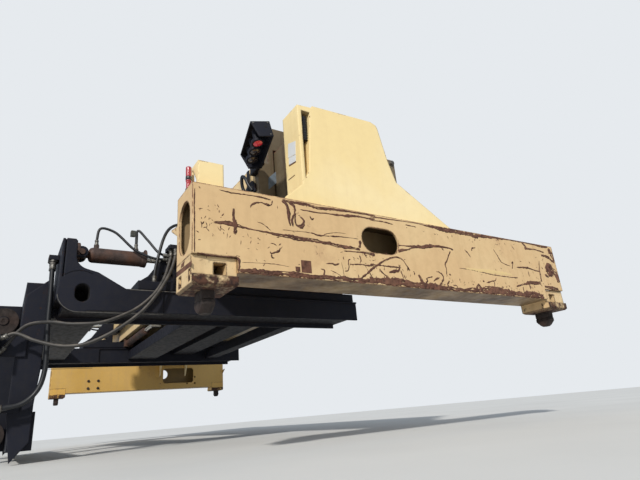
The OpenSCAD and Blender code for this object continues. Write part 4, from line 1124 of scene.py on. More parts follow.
@dataclass
class Studio:
    """Floor, light and the camera that stands where the photograph was taken.

    Attributes:
        camera_at: Where the camera stands, from the fit to the four lock tips.
        camera_right: Direction of the picture's right-hand side.
        camera_down: Direction of its lower side.
        focal_pixels: Focal length in pixels of the picture.
        image_width: Width of the picture in pixels.
        sensor: Width of the sensor in millimetres.
        camera_reach: How far the camera sees.
        floor_z: Height of the floor.
        floor_rings: How many rings the floor has.
        floor_spokes: Points round each ring.
        floor_radii: Radius of the first and the last ring.
        floor_tones: Its two pale greys.
        floor_clouds: How they mix, in patches of 1.2 m, so that the floor isn't one flat tone.
        floor_rough: Its roughness.
        sun_from: Direction that the sun comes from: from the right, a little behind the camera.
        sun_energy: Strength of the sun.
        sun_width: How wide it looks, in degrees, which softens the shadows.
        sun_color: Its warm white, as linear red, green and blue.
        sun_at: Where its lamp hangs, which has no effect.
        air: Colour of the light from all round.
        air_strength: Its strength.
        backdrop: Colour that the camera sees behind the part.
    """

    camera_at: Point = (4.7269, -0.0427, -0.4045)
    camera_right: Point = (0.53150, 0.84291, -0.08378)
    camera_down: Point = (-0.33121, 0.11577, -0.93643)
    focal_pixels: float = 478.35
    image_width: float = 640
    sensor: float = 36.0
    camera_reach: float = 200.0
    floor_z: float = -0.535
    floor_rings: int = 12
    floor_spokes: int = 96
    floor_radii: tuple[float, float] = (0.5, 60.0)
    floor_tones: tuple[str, str] = ("#D5D5D2", "#DEDEDB")
    floor_clouds: Clouds = Clouds(0.8, low=0.3, high=0.7)
    floor_rough: float = 0.85
    sun_from: Point = (0.60, -0.62, 0.55)
    sun_energy: float = 3.1
    sun_width: float = 4.0
    sun_color: tuple[float, float, float] = (1.0, 0.965, 0.91)
    sun_at: Point = (0.0, 0.0, 6.0)
    air: str = "#C9D3E0"
    air_strength: float = 0.62
    backdrop: str = "#E6EAEE"

    def build(self) -> None:
        """Sets up everything round the part."""
        self.camera()
        self.floor()
        self.sun()
        self.world()
        bpy.context.scene.view_settings.view_transform = "Standard"

    def _place(self, name: str, data: bpy.types.ID, ways: Rows, at: Point) -> bpy.types.Object:
        """Puts a camera or a light into the scene.

        Args:
            name: Its name.
            data: What it is.
            ways: Its own X, Y and Z directions.
            at: Where it stands.

        Returns:
            The object.
        """
        thing = bpy.data.objects.new(name, data)
        thing.matrix_world = Matrix([*np.column_stack([*ways, at]).tolist(), [0, 0, 0, 1]])
        bpy.context.scene.collection.objects.link(thing)
        return thing

    def camera(self) -> None:
        """Places the camera."""
        right, down = unit(self.camera_right), unit(self.camera_down)
        data = bpy.data.cameras.new("photo_camera")
        data.sensor_width = self.sensor
        data.lens = self.focal_pixels / self.image_width * self.sensor
        data.clip_end = self.camera_reach
        data.dof.use_dof = False
        ways = (right, -down, np.cross(right, -down))
        bpy.context.scene.camera = self._place("photo_camera", data, ways, self.camera_at)

    def floor(self) -> None:
        """Makes the floor: rings of radius * (cos q, sin q), whose radii grow by an equal factor."""
        g = Graph(bpy.data.materials.new("pale_floor"))
        material = g.finish(g.layer(*self.floor_tones, g.clouds(self.floor_clouds)), self.floor_rough)
        rings, spokes = self.floor_rings, self.floor_spokes
        angle = np.linspace(0, FULL_TURN, spokes, endpoint=False)
        radius = np.geomspace(*self.floor_radii, rings)[:, None]
        height = np.full((rings, spokes), self.floor_z)
        flat = np.stack([radius * np.cos(angle), radius * np.sin(angle), height], axis=-1)
        middle = tuple(range((rings - 1) * spokes, rings * spokes))
        disc = replace(grid_form(flat[::-1], capped=False), caps=(middle,))
        linked_mesh("floor", disc, material)

    def sun(self) -> None:
        """Adds one soft sun."""
        data = bpy.data.lights.new("sun", "SUN")
        data.energy = self.sun_energy
        data.angle = math.radians(self.sun_width)
        data.color = self.sun_color
        back = unit(self.sun_from)
        side = unit(np.cross(UP, back))
        self._place("sun", data, (side, np.cross(back, side), back), self.sun_at)

    def world(self) -> None:
        """Lights the scene from all round, and shows a paler backdrop to the camera alone."""
        world = bpy.data.worlds.new("studio")
        g = Graph(world)
        shown = g.add("Background", {"Color": linear(self.backdrop)})
        lit = g.add("Background", {"Color": linear(self.air), "Strength": self.air_strength})
        seen = g.add("LightPath", out="Is Camera Ray")
        g.add("OutputWorld", {"Surface": g.add("MixShader", (seen, lit, shown))})
        bpy.context.scene.world = world


# ---------------------------------------------------------------- marks of use

# Scrapes down to rust on the outer face of the beam: y, z and width along each, in millimetres
SCRAPES = (
    ((679, 422, 13), (679, 385, 15), (683, 348, 22), (684, 311, 13)),
    ((593, 347, 12), (641, 352, 15), (678, 348, 22), (704, 345, 15), (731, 341, 8), (774, 337, 5)),
    ((763, 338, 5), (808, 336, 7), (865, 331, 12), (912, 329, 17), (959, 327, 24), (1021, 328, 20),
     (1085, 324, 18), (1150, 319, 16), (1217, 315, 17), (1287, 314, 16), (1319, 310, 12)),
    ((1221, 295, 5), (1285, 297, 6), (1342, 299, 9), (1386, 296, 13), (1407, 295, 17)),
    ((785, 376, 4), (809, 371, 5), (829, 359, 5), (849, 344, 3)),
    ((756, 437, 5), (761, 451, 8), (780, 463, 8), (808, 469, 5), (831, 466, 9), (852, 462, 12)),
    ((851, 462, 7), (859, 473, 7), (863, 489, 6)),
    ((911, 498, 16), (929, 482, 17), (940, 461, 17), (938, 437, 15), (941, 408, 16), (946, 380, 11)),
    ((947, 494, 14), (968, 477, 13), (972, 454, 13), (959, 423, 10), (954, 398, 11), (958, 379, 8)),
    ((979, 449, 7), (970, 412, 9), (976, 390, 11), (995, 383, 14), (1015, 406, 13), (1011, 429, 10),
     (996, 434, 5)),
    ((991, 379, 10), (1012, 376, 5)),
    ((617, 495, 3), (670, 491, 6), (725, 493, 6), (770, 495, 5), (815, 495, 7), (857, 490, 8)),
    ((911, 499, 10), (972, 498, 16), (1036, 498, 17), (1088, 494, 18), (1169, 498, 14), (1240, 500, 11),
     (1312, 503, 9), (1387, 504, 9), (1440, 504, 8)),
    ((1001, 468, 5), (1040, 468, 7), (1085, 466, 6), (1139, 472, 7), (1201, 472, 10), (1273, 479, 15),
     (1347, 484, 12), (1436, 485, 8)),
    ((904, 357, 3), (950, 358, 3), (999, 361, 3), (1056, 360, 5), (1100, 353, 5), (1142, 371, 4),
     (1190, 381, 3), (1246, 384, 2)),
    ((1050, 364, 3), (1088, 356, 5), (1141, 358, 5), (1182, 362, 7), (1258, 365, 3), (1315, 365, 3)),
    ((842, 287, 4), (859, 286, 5), (873, 278, 3)),
    ((888, 273, 5), (883, 258, 9), (863, 249, 7), (844, 242, 7), (839, 252, 3)),
    ((845, 240, 6), (847, 224, 7), (860, 223, 3)), ((1051, 445, 7), (1059, 429, 9), (1073, 437, 5)),
    ((607, 408, 6), (612, 406, 4)), ((598, 424, 4), (602, 418, 3)), ((783, 304, 7), (789, 301, 5)),
    ((754, 288, 7), (750, 274, 3)), ((541, 343, 7), (545, 333, 4), (544, 315, 2)),
    ((560, 344, 2), (566, 330, 3), (563, 314, 2)), ((578, 339, 3), (575, 328, 2)),
    ((609, 330, 2), (620, 315, 3), (626, 324, 2), (640, 316, 3)), ((651, 307, 4), (648, 284, 2)),
    ((709, 283, 4), (707, 262, 2)), ((587, 298, 3), (595, 288, 2)),
    ((526, 210, 10), (545, 210, 8), (574, 205, 6), (604, 205, 5), (644, 207, 4), (685, 209, 6)),
    ((687, 210, 6), (698, 198, 9), (698, 168, 7), (693, 149, 6)),
    ((698, 155, 19), (755, 157, 22), (820, 157, 22), (865, 158, 23), (922, 158, 25), (980, 157, 22),
     (1066, 156, 21), (1130, 157, 21), (1229, 157, 22), (1298, 158, 24), (1381, 159, 26)),
    ((710, 190, 2), (779, 194, 2), (857, 196, 3), (926, 191, 2)),
    ((516, 483, 4), (514, 412, 6), (516, 345, 5), (516, 274, 4), (517, 212, 6)),
    ((1116, 223, 3), (1146, 226, 7), (1165, 222, 8), (1190, 229, 5)),
    ((1201, 237, 3), (1207, 202, 2), (1208, 173, 3)),
    ((1255, 257, 4), (1243, 251, 5), (1242, 222, 5), (1234, 201, 6), (1216, 197, 6)),
    ((1248, 231, 5), (1312, 237, 6), (1362, 236, 7), (1398, 242, 6)),
    ((1285, 150, 8), (1341, 193, 10), (1397, 235, 11)), ((1345, 220, 5), (1372, 181, 5), (1386, 163, 5)),
    ((1291, 186, 5), (1293, 156, 6)), ((1085, 195, 6), (1103, 192, 6), (1101, 165, 8), (1121, 161, 4)),
    ((1136, 194, 3), (1174, 180, 3), (1206, 161, 3)), ((1311, 282, 6), (1315, 258, 6), (1308, 240, 4)),
    ((1336, 298, 6), (1355, 274, 5)), ((1326, 359, 13), (1316, 320, 16)), ((724, 158, 5), (727, 150, 3)),
    ((1406, 495, 10), (1506, 499, 7), (1628, 503, 5), (1755, 504, 6), (1840, 499, 18), (1950, 498, 26),
     (2053, 499, 25), (2160, 496, 31), (2274, 501, 21), (2391, 505, 12), (2578, 507, 8), (2725, 506, 11),
     (2900, 503, 16)),
    ((1403, 476, 4), (1477, 480, 6), (1553, 475, 7)), ((1638, 485, 5), (1716, 483, 6)),
    ((1567, 363, 7), (1637, 367, 9), (1728, 373, 20), (1805, 386, 22), (1883, 392, 13), (1942, 389, 8),
     (1972, 383, 10)),
    ((1561, 330, 16), (1624, 346, 13), (1671, 361, 9), (1727, 371, 11)), ((1881, 383, 8), (1898, 372, 7)),
    ((1947, 371, 10), (1918, 334, 8), (1899, 303, 10), (1881, 284, 13), (1890, 267, 6), (1883, 233, 7)),
    ((1363, 208, 10), (1415, 244, 9), (1476, 276, 10), (1537, 296, 9), (1575, 293, 7), (1593, 274, 6),
     (1613, 246, 9), (1620, 232, 14)),
    ((1368, 243, 8), (1439, 243, 8), (1511, 243, 8), (1565, 244, 7)),
    ((1359, 182, 13), (1371, 165, 16), (1394, 153, 7)),
    ((1425, 226, 9), (1437, 210, 7), (1462, 191, 5), (1500, 163, 5)),
    ((1481, 211, 8), (1524, 222, 15), (1556, 234, 11), (1560, 258, 6)), ((1511, 194, 8), (1533, 169, 10)),
    ((1504, 194, 5), (1490, 167, 5)), ((1559, 231, 6), (1573, 188, 5)), ((1576, 209, 5), (1585, 186, 5)),
    ((1648, 229, 7), (1651, 211, 6)), ((1676, 216, 15), (1693, 189, 19), (1710, 158, 19)),
    ((1718, 180, 8), (1737, 188, 7), (1728, 199, 6), (1777, 214, 8)),
    ((1810, 246, 8), (1841, 238, 8), (1857, 218, 9), (1839, 189, 11), (1808, 159, 9)),
    ((1778, 188, 9), (1800, 203, 11), (1827, 212, 7)), ((1882, 166, 12), (1880, 182, 11), (1900, 201, 10)),
    ((1904, 240, 12), (1919, 233, 8)), ((1918, 179, 5), (1947, 176, 6), (1955, 161, 5)),
    ((2066, 395, 7), (2092, 375, 9), (2107, 352, 3)), ((2125, 394, 7), (2135, 410, 8), (2165, 418, 4)),
    ((2324, 428, 4), (2352, 387, 6), (2376, 348, 11)), ((2373, 351, 5), (2410, 340, 5), (2455, 333, 4)),
    ((2390, 502, 16), (2395, 489, 10)), ((2513, 470, 8), (2532, 445, 6)),
    ((2471, 349, 8), (2488, 364, 7), (2465, 317, 6)),
    ((1994, 280, 3), (2076, 279, 4), (2170, 273, 6), (2267, 265, 5), (2369, 262, 5), (2501, 263, 7)),
    ((2200, 210, 7), (2254, 225, 7), (2285, 232, 5), (2296, 250, 4)), ((2169, 219, 11), (2184, 217, 9)),
    ((2094, 159, 15), (2120, 192, 13), (2135, 198, 8)), ((2127, 199, 15), (2156, 155, 19)),
    ((2164, 186, 10), (2187, 152, 12)), ((2217, 159, 9), (2290, 195, 6)),
    ((2177, 187, 7), (2277, 190, 7), (2342, 179, 7), (2406, 157, 9)), ((2271, 224, 5), (2260, 154, 5)),
    ((2513, 330, 8), (2629, 336, 10), (2704, 326, 8), (2746, 325, 8)),
    ((2764, 395, 6), (2743, 325, 10), (2736, 256, 14)),
    ((2469, 207, 9), (2551, 228, 14), (2619, 241, 22), (2727, 245, 20)), ((2532, 211, 8), (2529, 162, 7)),
    ((2602, 232, 10), (2602, 198, 8)), ((2621, 315, 6), (2621, 280, 5)),
    ((2625, 500, 8), (2652, 486, 14), (2665, 465, 12)), ((2639, 467, 14), (2760, 471, 9), (2843, 463, 10)),
    ((2899, 492, 38), (2907, 489, 41), (2911, 457, 25)),
    ((2802, 438, 14), (2856, 435, 26), (2893, 429, 22)),
    ((2829, 375, 37), (2850, 351, 67), (2858, 318, 65), (2877, 304, 37)),
    ((2790, 308, 15), (2828, 293, 13)), ((2757, 226, 12), (2837, 223, 17), (2903, 219, 17)),
    ((1353, 161, 29), (1431, 164, 37), (1512, 167, 42), (1585, 163, 35), (1680, 162, 32), (1787, 160, 28),
     (1899, 158, 23), (2017, 157, 23), (2120, 163, 33), (2229, 166, 40), (2344, 164, 36), (2485, 163, 34),
     (2611, 163, 35), (2724, 161, 30)),
)
# Streaks, thick rust and square marks on the same face, in the same way; a square has its upper and lower end
CLEAN_STREAKS = (
    ((2048, 282, 7), (2184, 282, 19), (2318, 281, 24), (2452, 279, 9)),
)
RUST_PATCHES = (
    ((2924, 478, 22), (2928, 452, 30), (2930, 418, 24), (2926, 396, 10)),
    ((2880, 424, 8), (2905, 414, 18), (2930, 404, 16)),
    ((2888, 352, 14), (2908, 338, 40), (2924, 306, 36), (2930, 276, 22)),
    ((2905, 300, 10), (2922, 282, 30), (2926, 262, 14)),
)
RUST_SQUARES = (
    ((1014, 227, 51), (1009, 171, 50)), ((969, 195, 23), (967, 173, 23)),
)

# Where small chips lie thick on that face: y, z, spread in y, spread in z, and how many
CHIPPED = (
    (610, 330, 70, 30, 26), (560, 400, 40, 45, 12), (830, 300, 70, 40, 14), (1240, 245, 70, 25, 16),
    (1480, 215, 110, 30, 30), (1420, 285, 90, 20, 14), (1950, 190, 160, 16, 22), (2330, 195, 150, 22, 26),
    (2700, 230, 120, 50, 34), (2760, 400, 90, 50, 16), (2500, 300, 200, 60, 12), (1000, 440, 60, 30, 8),
    (2100, 470, 300, 14, 20), (700, 205, 120, 12, 12),
)
# Half length and width of a chip in millimetres, and the part of the face where chips may lie
CHIP_HALF, CHIP_WIDTH = (2, 9), (2.5, 6.0)
CHIP_LOW, CHIP_HIGH = (520, 162), (2930, 495)
# A stroke of this width or more frays into strands, sampled at this step, all in millimetres
FRAY_WIDTH, FRAY_STEP = 13, 34.0
# Where the strands lie across the stroke, in widths from its middle, and how far they wander
STRANDS, WANDER = (-0.27, 0.02, 0.28), 0.07
# Width of a strand in stroke widths: mean, spread and limits
STRAND_MEAN, STRAND_SPREAD, STRAND_LIMITS = 0.42, 0.16, (0.1, 0.75)
RIBBON_STEP = 0.004  # samples along a ribbon
RAGGED_LIMITS = (0.25, 1.9)  # least and most of a ragged half width, against the even one
TIP, TIP_GROWTH = 0.25, 0.4  # width at a ribbon's ends, and what each sample adds until it is whole
SHOULDER = 0.8  # where a ribbon's flat top ends, from the middle to the edge
# Lowest and highest y and z of the beam's outer face, a hair inside its edges
FACE_LOW, FACE_HIGH = (0.5065, 0.1455), (2.9435, 0.5115)


def chips(noise: np.random.Generator) -> list[np.ndarray]:
    """Scatters short strokes about each chipped place, normally spread and at any slant.

    Args:
        noise: Source of the places, slants and sizes.

    Returns:
        The strokes: rows of y, z and width in millimetres.
    """
    strokes = []
    for y, z, spread_y, spread_z, count in CHIPPED:
        middle = noise.normal((y, z), (spread_y, spread_z), (count, 2))
        slant = noise.uniform(0, math.pi, count)
        half = noise.uniform(*CHIP_HALF, count)[:, None] * np.column_stack([np.cos(slant), np.sin(slant)])
        width = noise.uniform(*CHIP_WIDTH, (count, 1))
        ends = np.stack([np.hstack([middle + k * half, width]) for k in (-1, 0.1, 1)], axis=1)
        strokes.extend(ends[np.all((middle > CHIP_LOW) & (middle < CHIP_HIGH), axis=1)])
    return strokes


def frayed(stroke: Rows, noise: np.random.Generator) -> list[np.ndarray]:
    """Splits a wide stroke into three strands that wander across its width; a narrow one stays whole.

    A strand lies aside of the middle line by its place plus normal noise, times the stroke's width.

    Args:
        stroke: Rows of y, z and width in millimetres.
        noise: Source of the wandering and of the strands' widths.

    Returns:
        One stroke or three.
    """
    rows = np.array(stroke, float)
    if len(rows) < 3 or rows[:, 2].max() < FRAY_WIDTH:
        return [rows]
    fine = smooth_path(rows, FRAY_STEP)
    way = unit(np.gradient(fine[:, :2], axis=0))
    side = np.column_stack([way[:, 1], -way[:, 0]])
    strands = []
    for place in STRANDS:
        drift = (place + noise.normal(0, WANDER, len(fine))) * fine[:, 2]
        share = noise.normal(STRAND_MEAN, STRAND_SPREAD, len(fine))
        width = fine[:, 2] * np.clip(share, *STRAND_LIMITS)
        strands.append(np.column_stack([fine[:, :2] + side * drift[:, None], width]))
    return strands


def ribbon(stroke: Rows, plane_x: float, lift: float, noise: np.random.Generator, ragged: float) -> Form:
    """Thin strip on a face that looks along +X: a scrape or streak with torn edges.

    Its middle line is the smooth curve through the stroke. Each edge lies half the width away,
    times one plus ragged times noise that is summed over three samples. What would hang past
    the face's edge is pulled in to it.

    Args:
        stroke: Rows of y, z and width in millimetres.
        plane_x: Where the face lies.
        lift: How far the strip stands out.
        noise: Source of the ragged edges.
        ragged: Strength of the noise.

    Returns:
        The closed strip.
    """
    path = smooth_path(np.array(stroke, float) * MM, RIBBON_STEP)
    way = unit(np.gradient(path[:, :2], axis=0))
    side = np.column_stack([way[:, 1], -way[:, 0]])
    rough = noise.normal(size=(2, len(path) + 2))
    rough = 1 + ragged * (rough[:, :-2] + rough[:, 1:-1] + rough[:, 2:])
    from_tip = np.minimum(np.arange(len(path)), np.arange(len(path))[::-1])
    taper = np.minimum(1.0, TIP + from_tip * TIP_GROWTH)
    left, right = np.clip(rough, *RAGGED_LIMITS) * path[:, 2] * 0.5 * taper
    reach = np.stack([-left, -left * SHOULDER, right * SHOULDER, right], axis=1)
    flat = np.clip(path[:, None, :2] + side[:, None] * reach[:, :, None], FACE_LOW, FACE_HIGH)
    height = np.broadcast_to(plane_x + np.array([0.0, lift, lift, 0.0]), reach.shape)
    return grid_form(np.concatenate([height[:, :, None], flat], axis=2))


@dataclass(frozen=True)
class Piece:
    """One fitting, as it is at the right-hand side.

    Attributes:
        name: Its name, without the side.
        form: Its mesh.
        finish: Its finish.
        slot: The record's material slot; not used.
        sharp: Edges that turn more than this many degrees stay sharp.
    """

    name: str
    form: Form
    finish: Finish
    slot: str
    sharp: float = SHARP


@dataclass
class Trim:
    """What all assemblies share: the finishes, and how their pieces reach both ends or both sides.

    Attributes:
        paints: The finishes.
    """

    paints: Paintbox

    def add(self, piece: Piece, body: str) -> None:
        """Adds a piece that moves with a body."""
        add_piece(piece.name, piece.form, self.paints.get(piece.finish), body, piece.sharp)

    def add_at_ends(self, *pieces: Piece, body: str | None = None) -> None:
        """Adds all pieces at the right-hand end, and then all of them half a turn round at the left one.

        Args:
            pieces: The pieces.
            body: Body that they move with, if not the end that they are at.
        """
        for side, end in ENDS.items():
            for piece in pieces:
                name = f"{piece.name}_{side.name.lower()}"
                self.add(replace(piece, name=name, form=piece.form.at_end(side)), body or end)

    def add_at_sides(self, piece: Piece, body: str) -> None:
        """Adds a piece at the right-hand side, and mirrored in X at the left one."""
        self.add(replace(piece, name=f"{piece.name}_right"), body)
        self.add(replace(piece, name=f"{piece.name}_left", form=piece.form.mirrored()), body)


@dataclass
class BeamMarks(Trim):
    """Scrapes, streaks and rust squares on the outer faces of both end beams.

    Attributes:
        face: Where the right-hand beam's outer face lies.
        lift: How far the first mark stands out.
        step: How much further each next mark stands out, so that no two lie in one plane.
        first_square: Number of the first rust square.
        first_streak: Number of the first wiped streak.
        ragged_scrape: Raggedness of a scrape.
        ragged_streak: Raggedness of a streak.
    """

    face: float = 3.0395
    lift: float = 0.0003
    step: float = 0.0000005
    first_square: int = 600
    first_streak: int = 620
    ragged_scrape: float = 0.17
    ragged_streak: float = 0.1

    def build(self) -> None:
        """Makes the marks of both ends; the left beam carries the same ones half a turn round."""
        noise = np.random.default_rng(SEED)
        strokes = [strand for stroke in SCRAPES + RUST_PATCHES for strand in frayed(stroke, noise)]
        strokes += chips(noise)
        scrapes = self.strips(strokes, 0, noise, self.ragged_scrape)
        squares = merged([self.square(s, i) for i, s in enumerate(RUST_SQUARES, self.first_square)])
        streaks = self.strips(CLEAN_STREAKS, self.first_streak, noise, self.ragged_streak)
        self.add_at_ends(
            Piece("scrapes", scrapes, SCRAPED, "cream_paint"),
            Piece("rust_squares", squares, SCRAPED, "cream_paint"),
            Piece("wiped_streaks", streaks, WIPED, "cream_paint"),
        )

    def height(self, number: int) -> float:
        """Returns how far a mark stands out: lift plus its number times step."""
        return self.lift + self.step * number

    def strips(self, strokes: Sequence[Rows], first: int, noise: np.random.Generator, ragged: float) -> Form:
        """Makes ragged marks, each a hair above the one before it.

        Args:
            strokes: Rows of y, z and width in millimetres for each mark.
            first: Number of the first mark.
            noise: Source of the ragged edges.
            ragged: Strength of the noise.

        Returns:
            All marks in one form.
        """
        return merged([
            ribbon(stroke, self.face, self.height(number), noise, ragged)
            for number, stroke in enumerate(strokes, first)
        ])

    def square(self, stroke: Rows, number: int) -> Form:
        """Makes a mark with straight edges.

        Args:
            stroke: Upper and lower middle as y, z and width in millimetres.
            number: Number of the mark.

        Returns:
            The mark.
        """
        (y_upper, z_upper, width), (y_lower, z_lower, _) = np.array(stroke) * MM
        left, right = (y_upper + y_lower) / 2 - width / 2, (y_upper + y_lower) / 2 + width / 2
        box = ((left, z_lower), (right, z_lower), (right, z_upper), (left, z_upper))
        return slab(box, self.height(number), (self.face, 0, 0))


# ---------------------------------------------------------------- fasteners and fittings


def hex_bolt(base: Sequence[float], axis: Sequence[float], size: float) -> Form:
    """Hexagon head on a washer; the head is 1.74 threads across its corners, 0.65 high and worn at the crown.

    Args:
        base: Where the washer lies.
        axis: Direction in which the head stands.
        size: Diameter of the thread.

    Returns:
        The washer and the head.
    """
    r, h = size * 0.87, size * 0.65
    washer = ((size, 0), (size * 1.02, size * 0.04), (size, size * 0.16), (size * 0.4, size * 0.17))
    low = np.asarray(base, float) + unit(axis) * size * 0.15
    head = turned(((r, 0), (r, h * 0.82), (r * 0.86, h), (r * 0.3, h * 1.01)), low, axis, 6)
    return merged([turned(washer, base, axis, 20), head])


def cap(base: Sequence[float], axis: Sequence[float], radius: float, height: float) -> Form:
    """Turned cap with a dimple of 0.45 radii, and a rim that rounds off over a quarter of the height.

    Args:
        base: Where it lies.
        axis: Direction in which it stands.
        radius: Its radius.
        height: Its height.

    Returns:
        The cap.
    """
    q = np.linspace(0, math.pi / 2, 5)
    rim = np.column_stack([radius - 0.18 * radius * (1 - np.cos(q)), height * (0.75 + 0.25 * np.sin(q))])
    dimple = np.array(((0.45, 1.0), (0.45 * 0.9, 0.7), (0.1, 0.68))) * (radius, height)
    return turned(np.vstack([(radius, 0), rim, dimple]), base, axis, 28)


def ribbed(base: Sequence[float], radius: float, length: float, ribs: int) -> Form:
    """Upright ribbed sleeve, whose radius is multiplied by 1 + 0.14 * cos of a full turn for each rib.

    Args:
        base: Middle of its foot.
        radius: Mean radius.
        length: Its length.
        ribs: How many ribs it has.

    Returns:
        The sleeve.
    """
    run = np.linspace(0, 1, ribs * 6 + 1)
    wide = radius * (1 + 0.14 * np.cos(FULL_TURN * run * ribs))
    profile = np.column_stack([np.r_[radius * 0.5, wide, radius * 0.5], np.r_[0, run * length, length]])
    return turned(profile, base, UP, 20)


def disc(x: float, y: float, z: float, radius: float, height: float) -> Form:
    """Upright disc on the point x, y, z; both rims are broken by 1 mm in height and 0.6 mm in radius."""
    narrow = radius - 0.6 * MM
    return turned(((narrow, 0), (radius, MM), (radius, height - MM), (narrow, height)), (x, y, z), UP)


def cup(outline_mm: Rows, floor_x: float, mouth_x: float) -> Form:
    """Open box that lines a slot in a face along +X: the outline shrunk a little, with a floor.

    Each point is the outline's middle plus its distance from it times the share of that row.

    Args:
        outline_mm: Pairs of y and z in millimetres, anticlockwise as seen from outside.
        floor_x: Where its back lies.
        mouth_x: Where its rim lies.

    Returns:
        The closed form.
    """
    yz = np.asarray(outline_mm, float) * MM
    middle = yz.mean(axis=0)
    outside, hollow = 0.992, 0.98 * 0.97
    rows = ((floor_x, outside), (mouth_x, outside), (mouth_x, hollow), (floor_x + MM, hollow))
    return grid_form(np.stack([
        np.column_stack([np.full(len(yz), x), middle + (yz - middle) * share]) for x, share in rows
    ]))


@dataclass
class TowerTrim(Trim):
    """Painted shade lining the slot, ribbed cable sleeves, blank tags, weld beads and rust seams of the two
    towers.

    Attributes:
        face: Where the right-hand tower's outer face lies.
        slot_mm: Corners of the slot in it, as y and z in millimetres.
        slot_floor: Depth of the lining's floor under the face.
        slot_mouth: Depth of its rim.
        sleeves: Foot, radius, length and ribs of each sleeve.
        tags_mm: Corners of the tags on the front face, in millimetres.
        seams_mm: Corners of the rust seams under them.
        crack_mm: Rust line across the outer face: y, z and width in millimetres.
        welds: Both ends, sample step, width and direction of each bead round the tower's foot.
    """

    face: float = 3.0295
    slot_mm: Rows = ((1057, 1025), (1053, 643), (1077, 693), (1107, 1025))
    slot_floor: float = 0.0945
    slot_mouth: float = 0.055
    sleeves: tuple = (((2.999, 1.083, 0.868), 0.017, 0.135, 9), ((2.975, 1.073, 0.900), 0.012, 0.105, 9))
    tags_mm: tuple[Rows, ...] = (
        ((2911, 1034.9, 809), (2984, 1034.9, 793), (2992, 1034.9, 862), (2920, 1034.9, 885)),
        ((2914, 1034.9, 768), (2981, 1034.9, 756), (2986, 1034.9, 789), (2918, 1034.9, 806)),
    )
    seams_mm: tuple[Rows, ...] = (
        ((2914, 1034.9, 760), (2981, 1034.9, 749), (2981, 1034.9, 755), (2914, 1034.9, 767)),
        ((2899, 1034.9, 689), (2962, 1034.9, 687), (2962, 1034.9, 691), (2899, 1034.9, 693)),
    )
    crack_mm: Rows = ((1070, 703, 3), (1110, 744, 5), (1152, 787, 4))
    welds: tuple = (
        ((2.8795, 1.036, 0.5135), (3.0285, 1.036, 0.5135), 0.004, 0.011, (0, -1, 1)),
        ((3.0305, 1.040, 0.5135), (3.0305, 1.99, 0.5135), 0.005, 0.010, (1, 0, 1)),
        ((2.8795, 1.50, 0.5135), (2.8795, 1.99, 0.5135), 0.005, 0.010, (-1, 0, 1)),
    )

    def build(self) -> None:
        """Makes the trim of both towers."""
        lining = cup(self.slot_mm, self.face - self.slot_floor, self.face - self.slot_mouth)
        sleeves = merged([ribbed(*sleeve) for sleeve in self.sleeves])
        tags = merged([plate(tag, lift=1.6 * MM, out=BACK) for tag in self.tags_mm])
        noise = np.random.default_rng(SEED)
        crack = ribbon(self.crack_mm, self.face, lift=0.5 * MM, noise=noise, ragged=0.05)
        seams = merged([*(plate(seam, lift=MM, out=BACK) for seam in self.seams_mm), crack])
        welds = merged([
            bead(smooth_path([start, end], step), width, unit(out))
            for start, end, step, width, out in self.welds
        ])
        self.add_at_ends(
            # The slot's lining is painted shade: a near-black cup.
            Piece("slot_shade_lining", lining, PAINTED_SHADE_LINING, "cream_paint"),
            Piece("cable_sleeve", sleeves, HOSE, "hose_rubber"),
            Piece("blank_tag", tags, TAG, "clean_cream_paint"),
            Piece("tower_seams", seams, SCRAPED, "cream_paint"),
            Piece("tower_welds", welds, CREAM_CLEAN, "clean_cream_paint"),
        )


@dataclass
class CollarTrim(Trim):
    """Blank patch, bolts and the cable bracket at the mouth of each outer tube.

    Attributes:
        face: Where the right-hand mouth lies.
        bolts_mm: Places of the bolts in it, as y and z in millimetres.
        thread: Thread of the bolts.
        patch_mm: Corners of the patch.
        bracket_mm: Corners of the bracket on the rail behind the mouth.
        stem_mm: Corners of the bracket's stem.
        cable: Points along the loop of cable that hangs in it.
        cable_radius: The cable's radius.
        tie: Where the bolt through the right-hand bracket sits.
    """

    face: float = 2.700
    bolts_mm: Rows = ((995, 600), (995, 1090), (1935, 600), (1935, 1090), (1280, 1090), (1620, 1090))
    thread: float = 0.020
    patch_mm: Rows = ((2700, 1028, 798), (2700, 1026, 730), (2700, 1099, 800), (2700, 1103, 874))
    bracket_mm: Rows = (
        (2560, 969.5, 722), (2672, 969.5, 722), (2672, 969.5, 760), (2636, 969.5, 800), (2560, 969.5, 780),
    )
    stem_mm: Rows = ((2588, 960, 780), (2612, 960, 780), (2612, 960, 872), (2588, 960, 872))
    cable: Rows = (
        (2.575, 0.955, 0.735), (2.570, 0.935, 0.790), (2.592, 0.925, 0.835), (2.625, 0.928, 0.812),
        (2.640, 0.938, 0.768), (2.650, 0.955, 0.735),
    )
    cable_radius: float = 0.009
    tie: Point = (2.637, 0.9595, 0.755)

    def build(self) -> None:
        """Makes the trim of the mouths and of the rails behind them."""
        bolts = merged([hex_bolt((self.face, y * MM, z * MM), OUT, self.thread) for y, z in self.bolts_mm])
        bracket = plate(self.bracket_mm, lift=10 * MM, out=BACK)
        stem = plate(self.stem_mm, lift=6 * MM, out=BACK)
        loop = tube(smooth_path(self.cable, step=0.006), self.cable_radius)
        tie = cap(self.tie, BACK, radius=0.009, height=0.006)
        self.add_at_ends(
            Piece("blank_patch", plate(self.patch_mm, lift=1.2 * MM, out=OUT), BLUED, "cream_paint"),
            Piece("collar_bolts", bolts, ZINC, "forged_steel", sharp=25),
            Piece("cable_bracket", merged([bracket, stem]), BLACK, "black_paint"),
            Piece("cable_loop", loop, HOSE, "hose_rubber"),
            body="main_frame",
        )
        self.add(Piece("bracket_bolt", tie, ZINC, "forged_steel"), "main_frame")


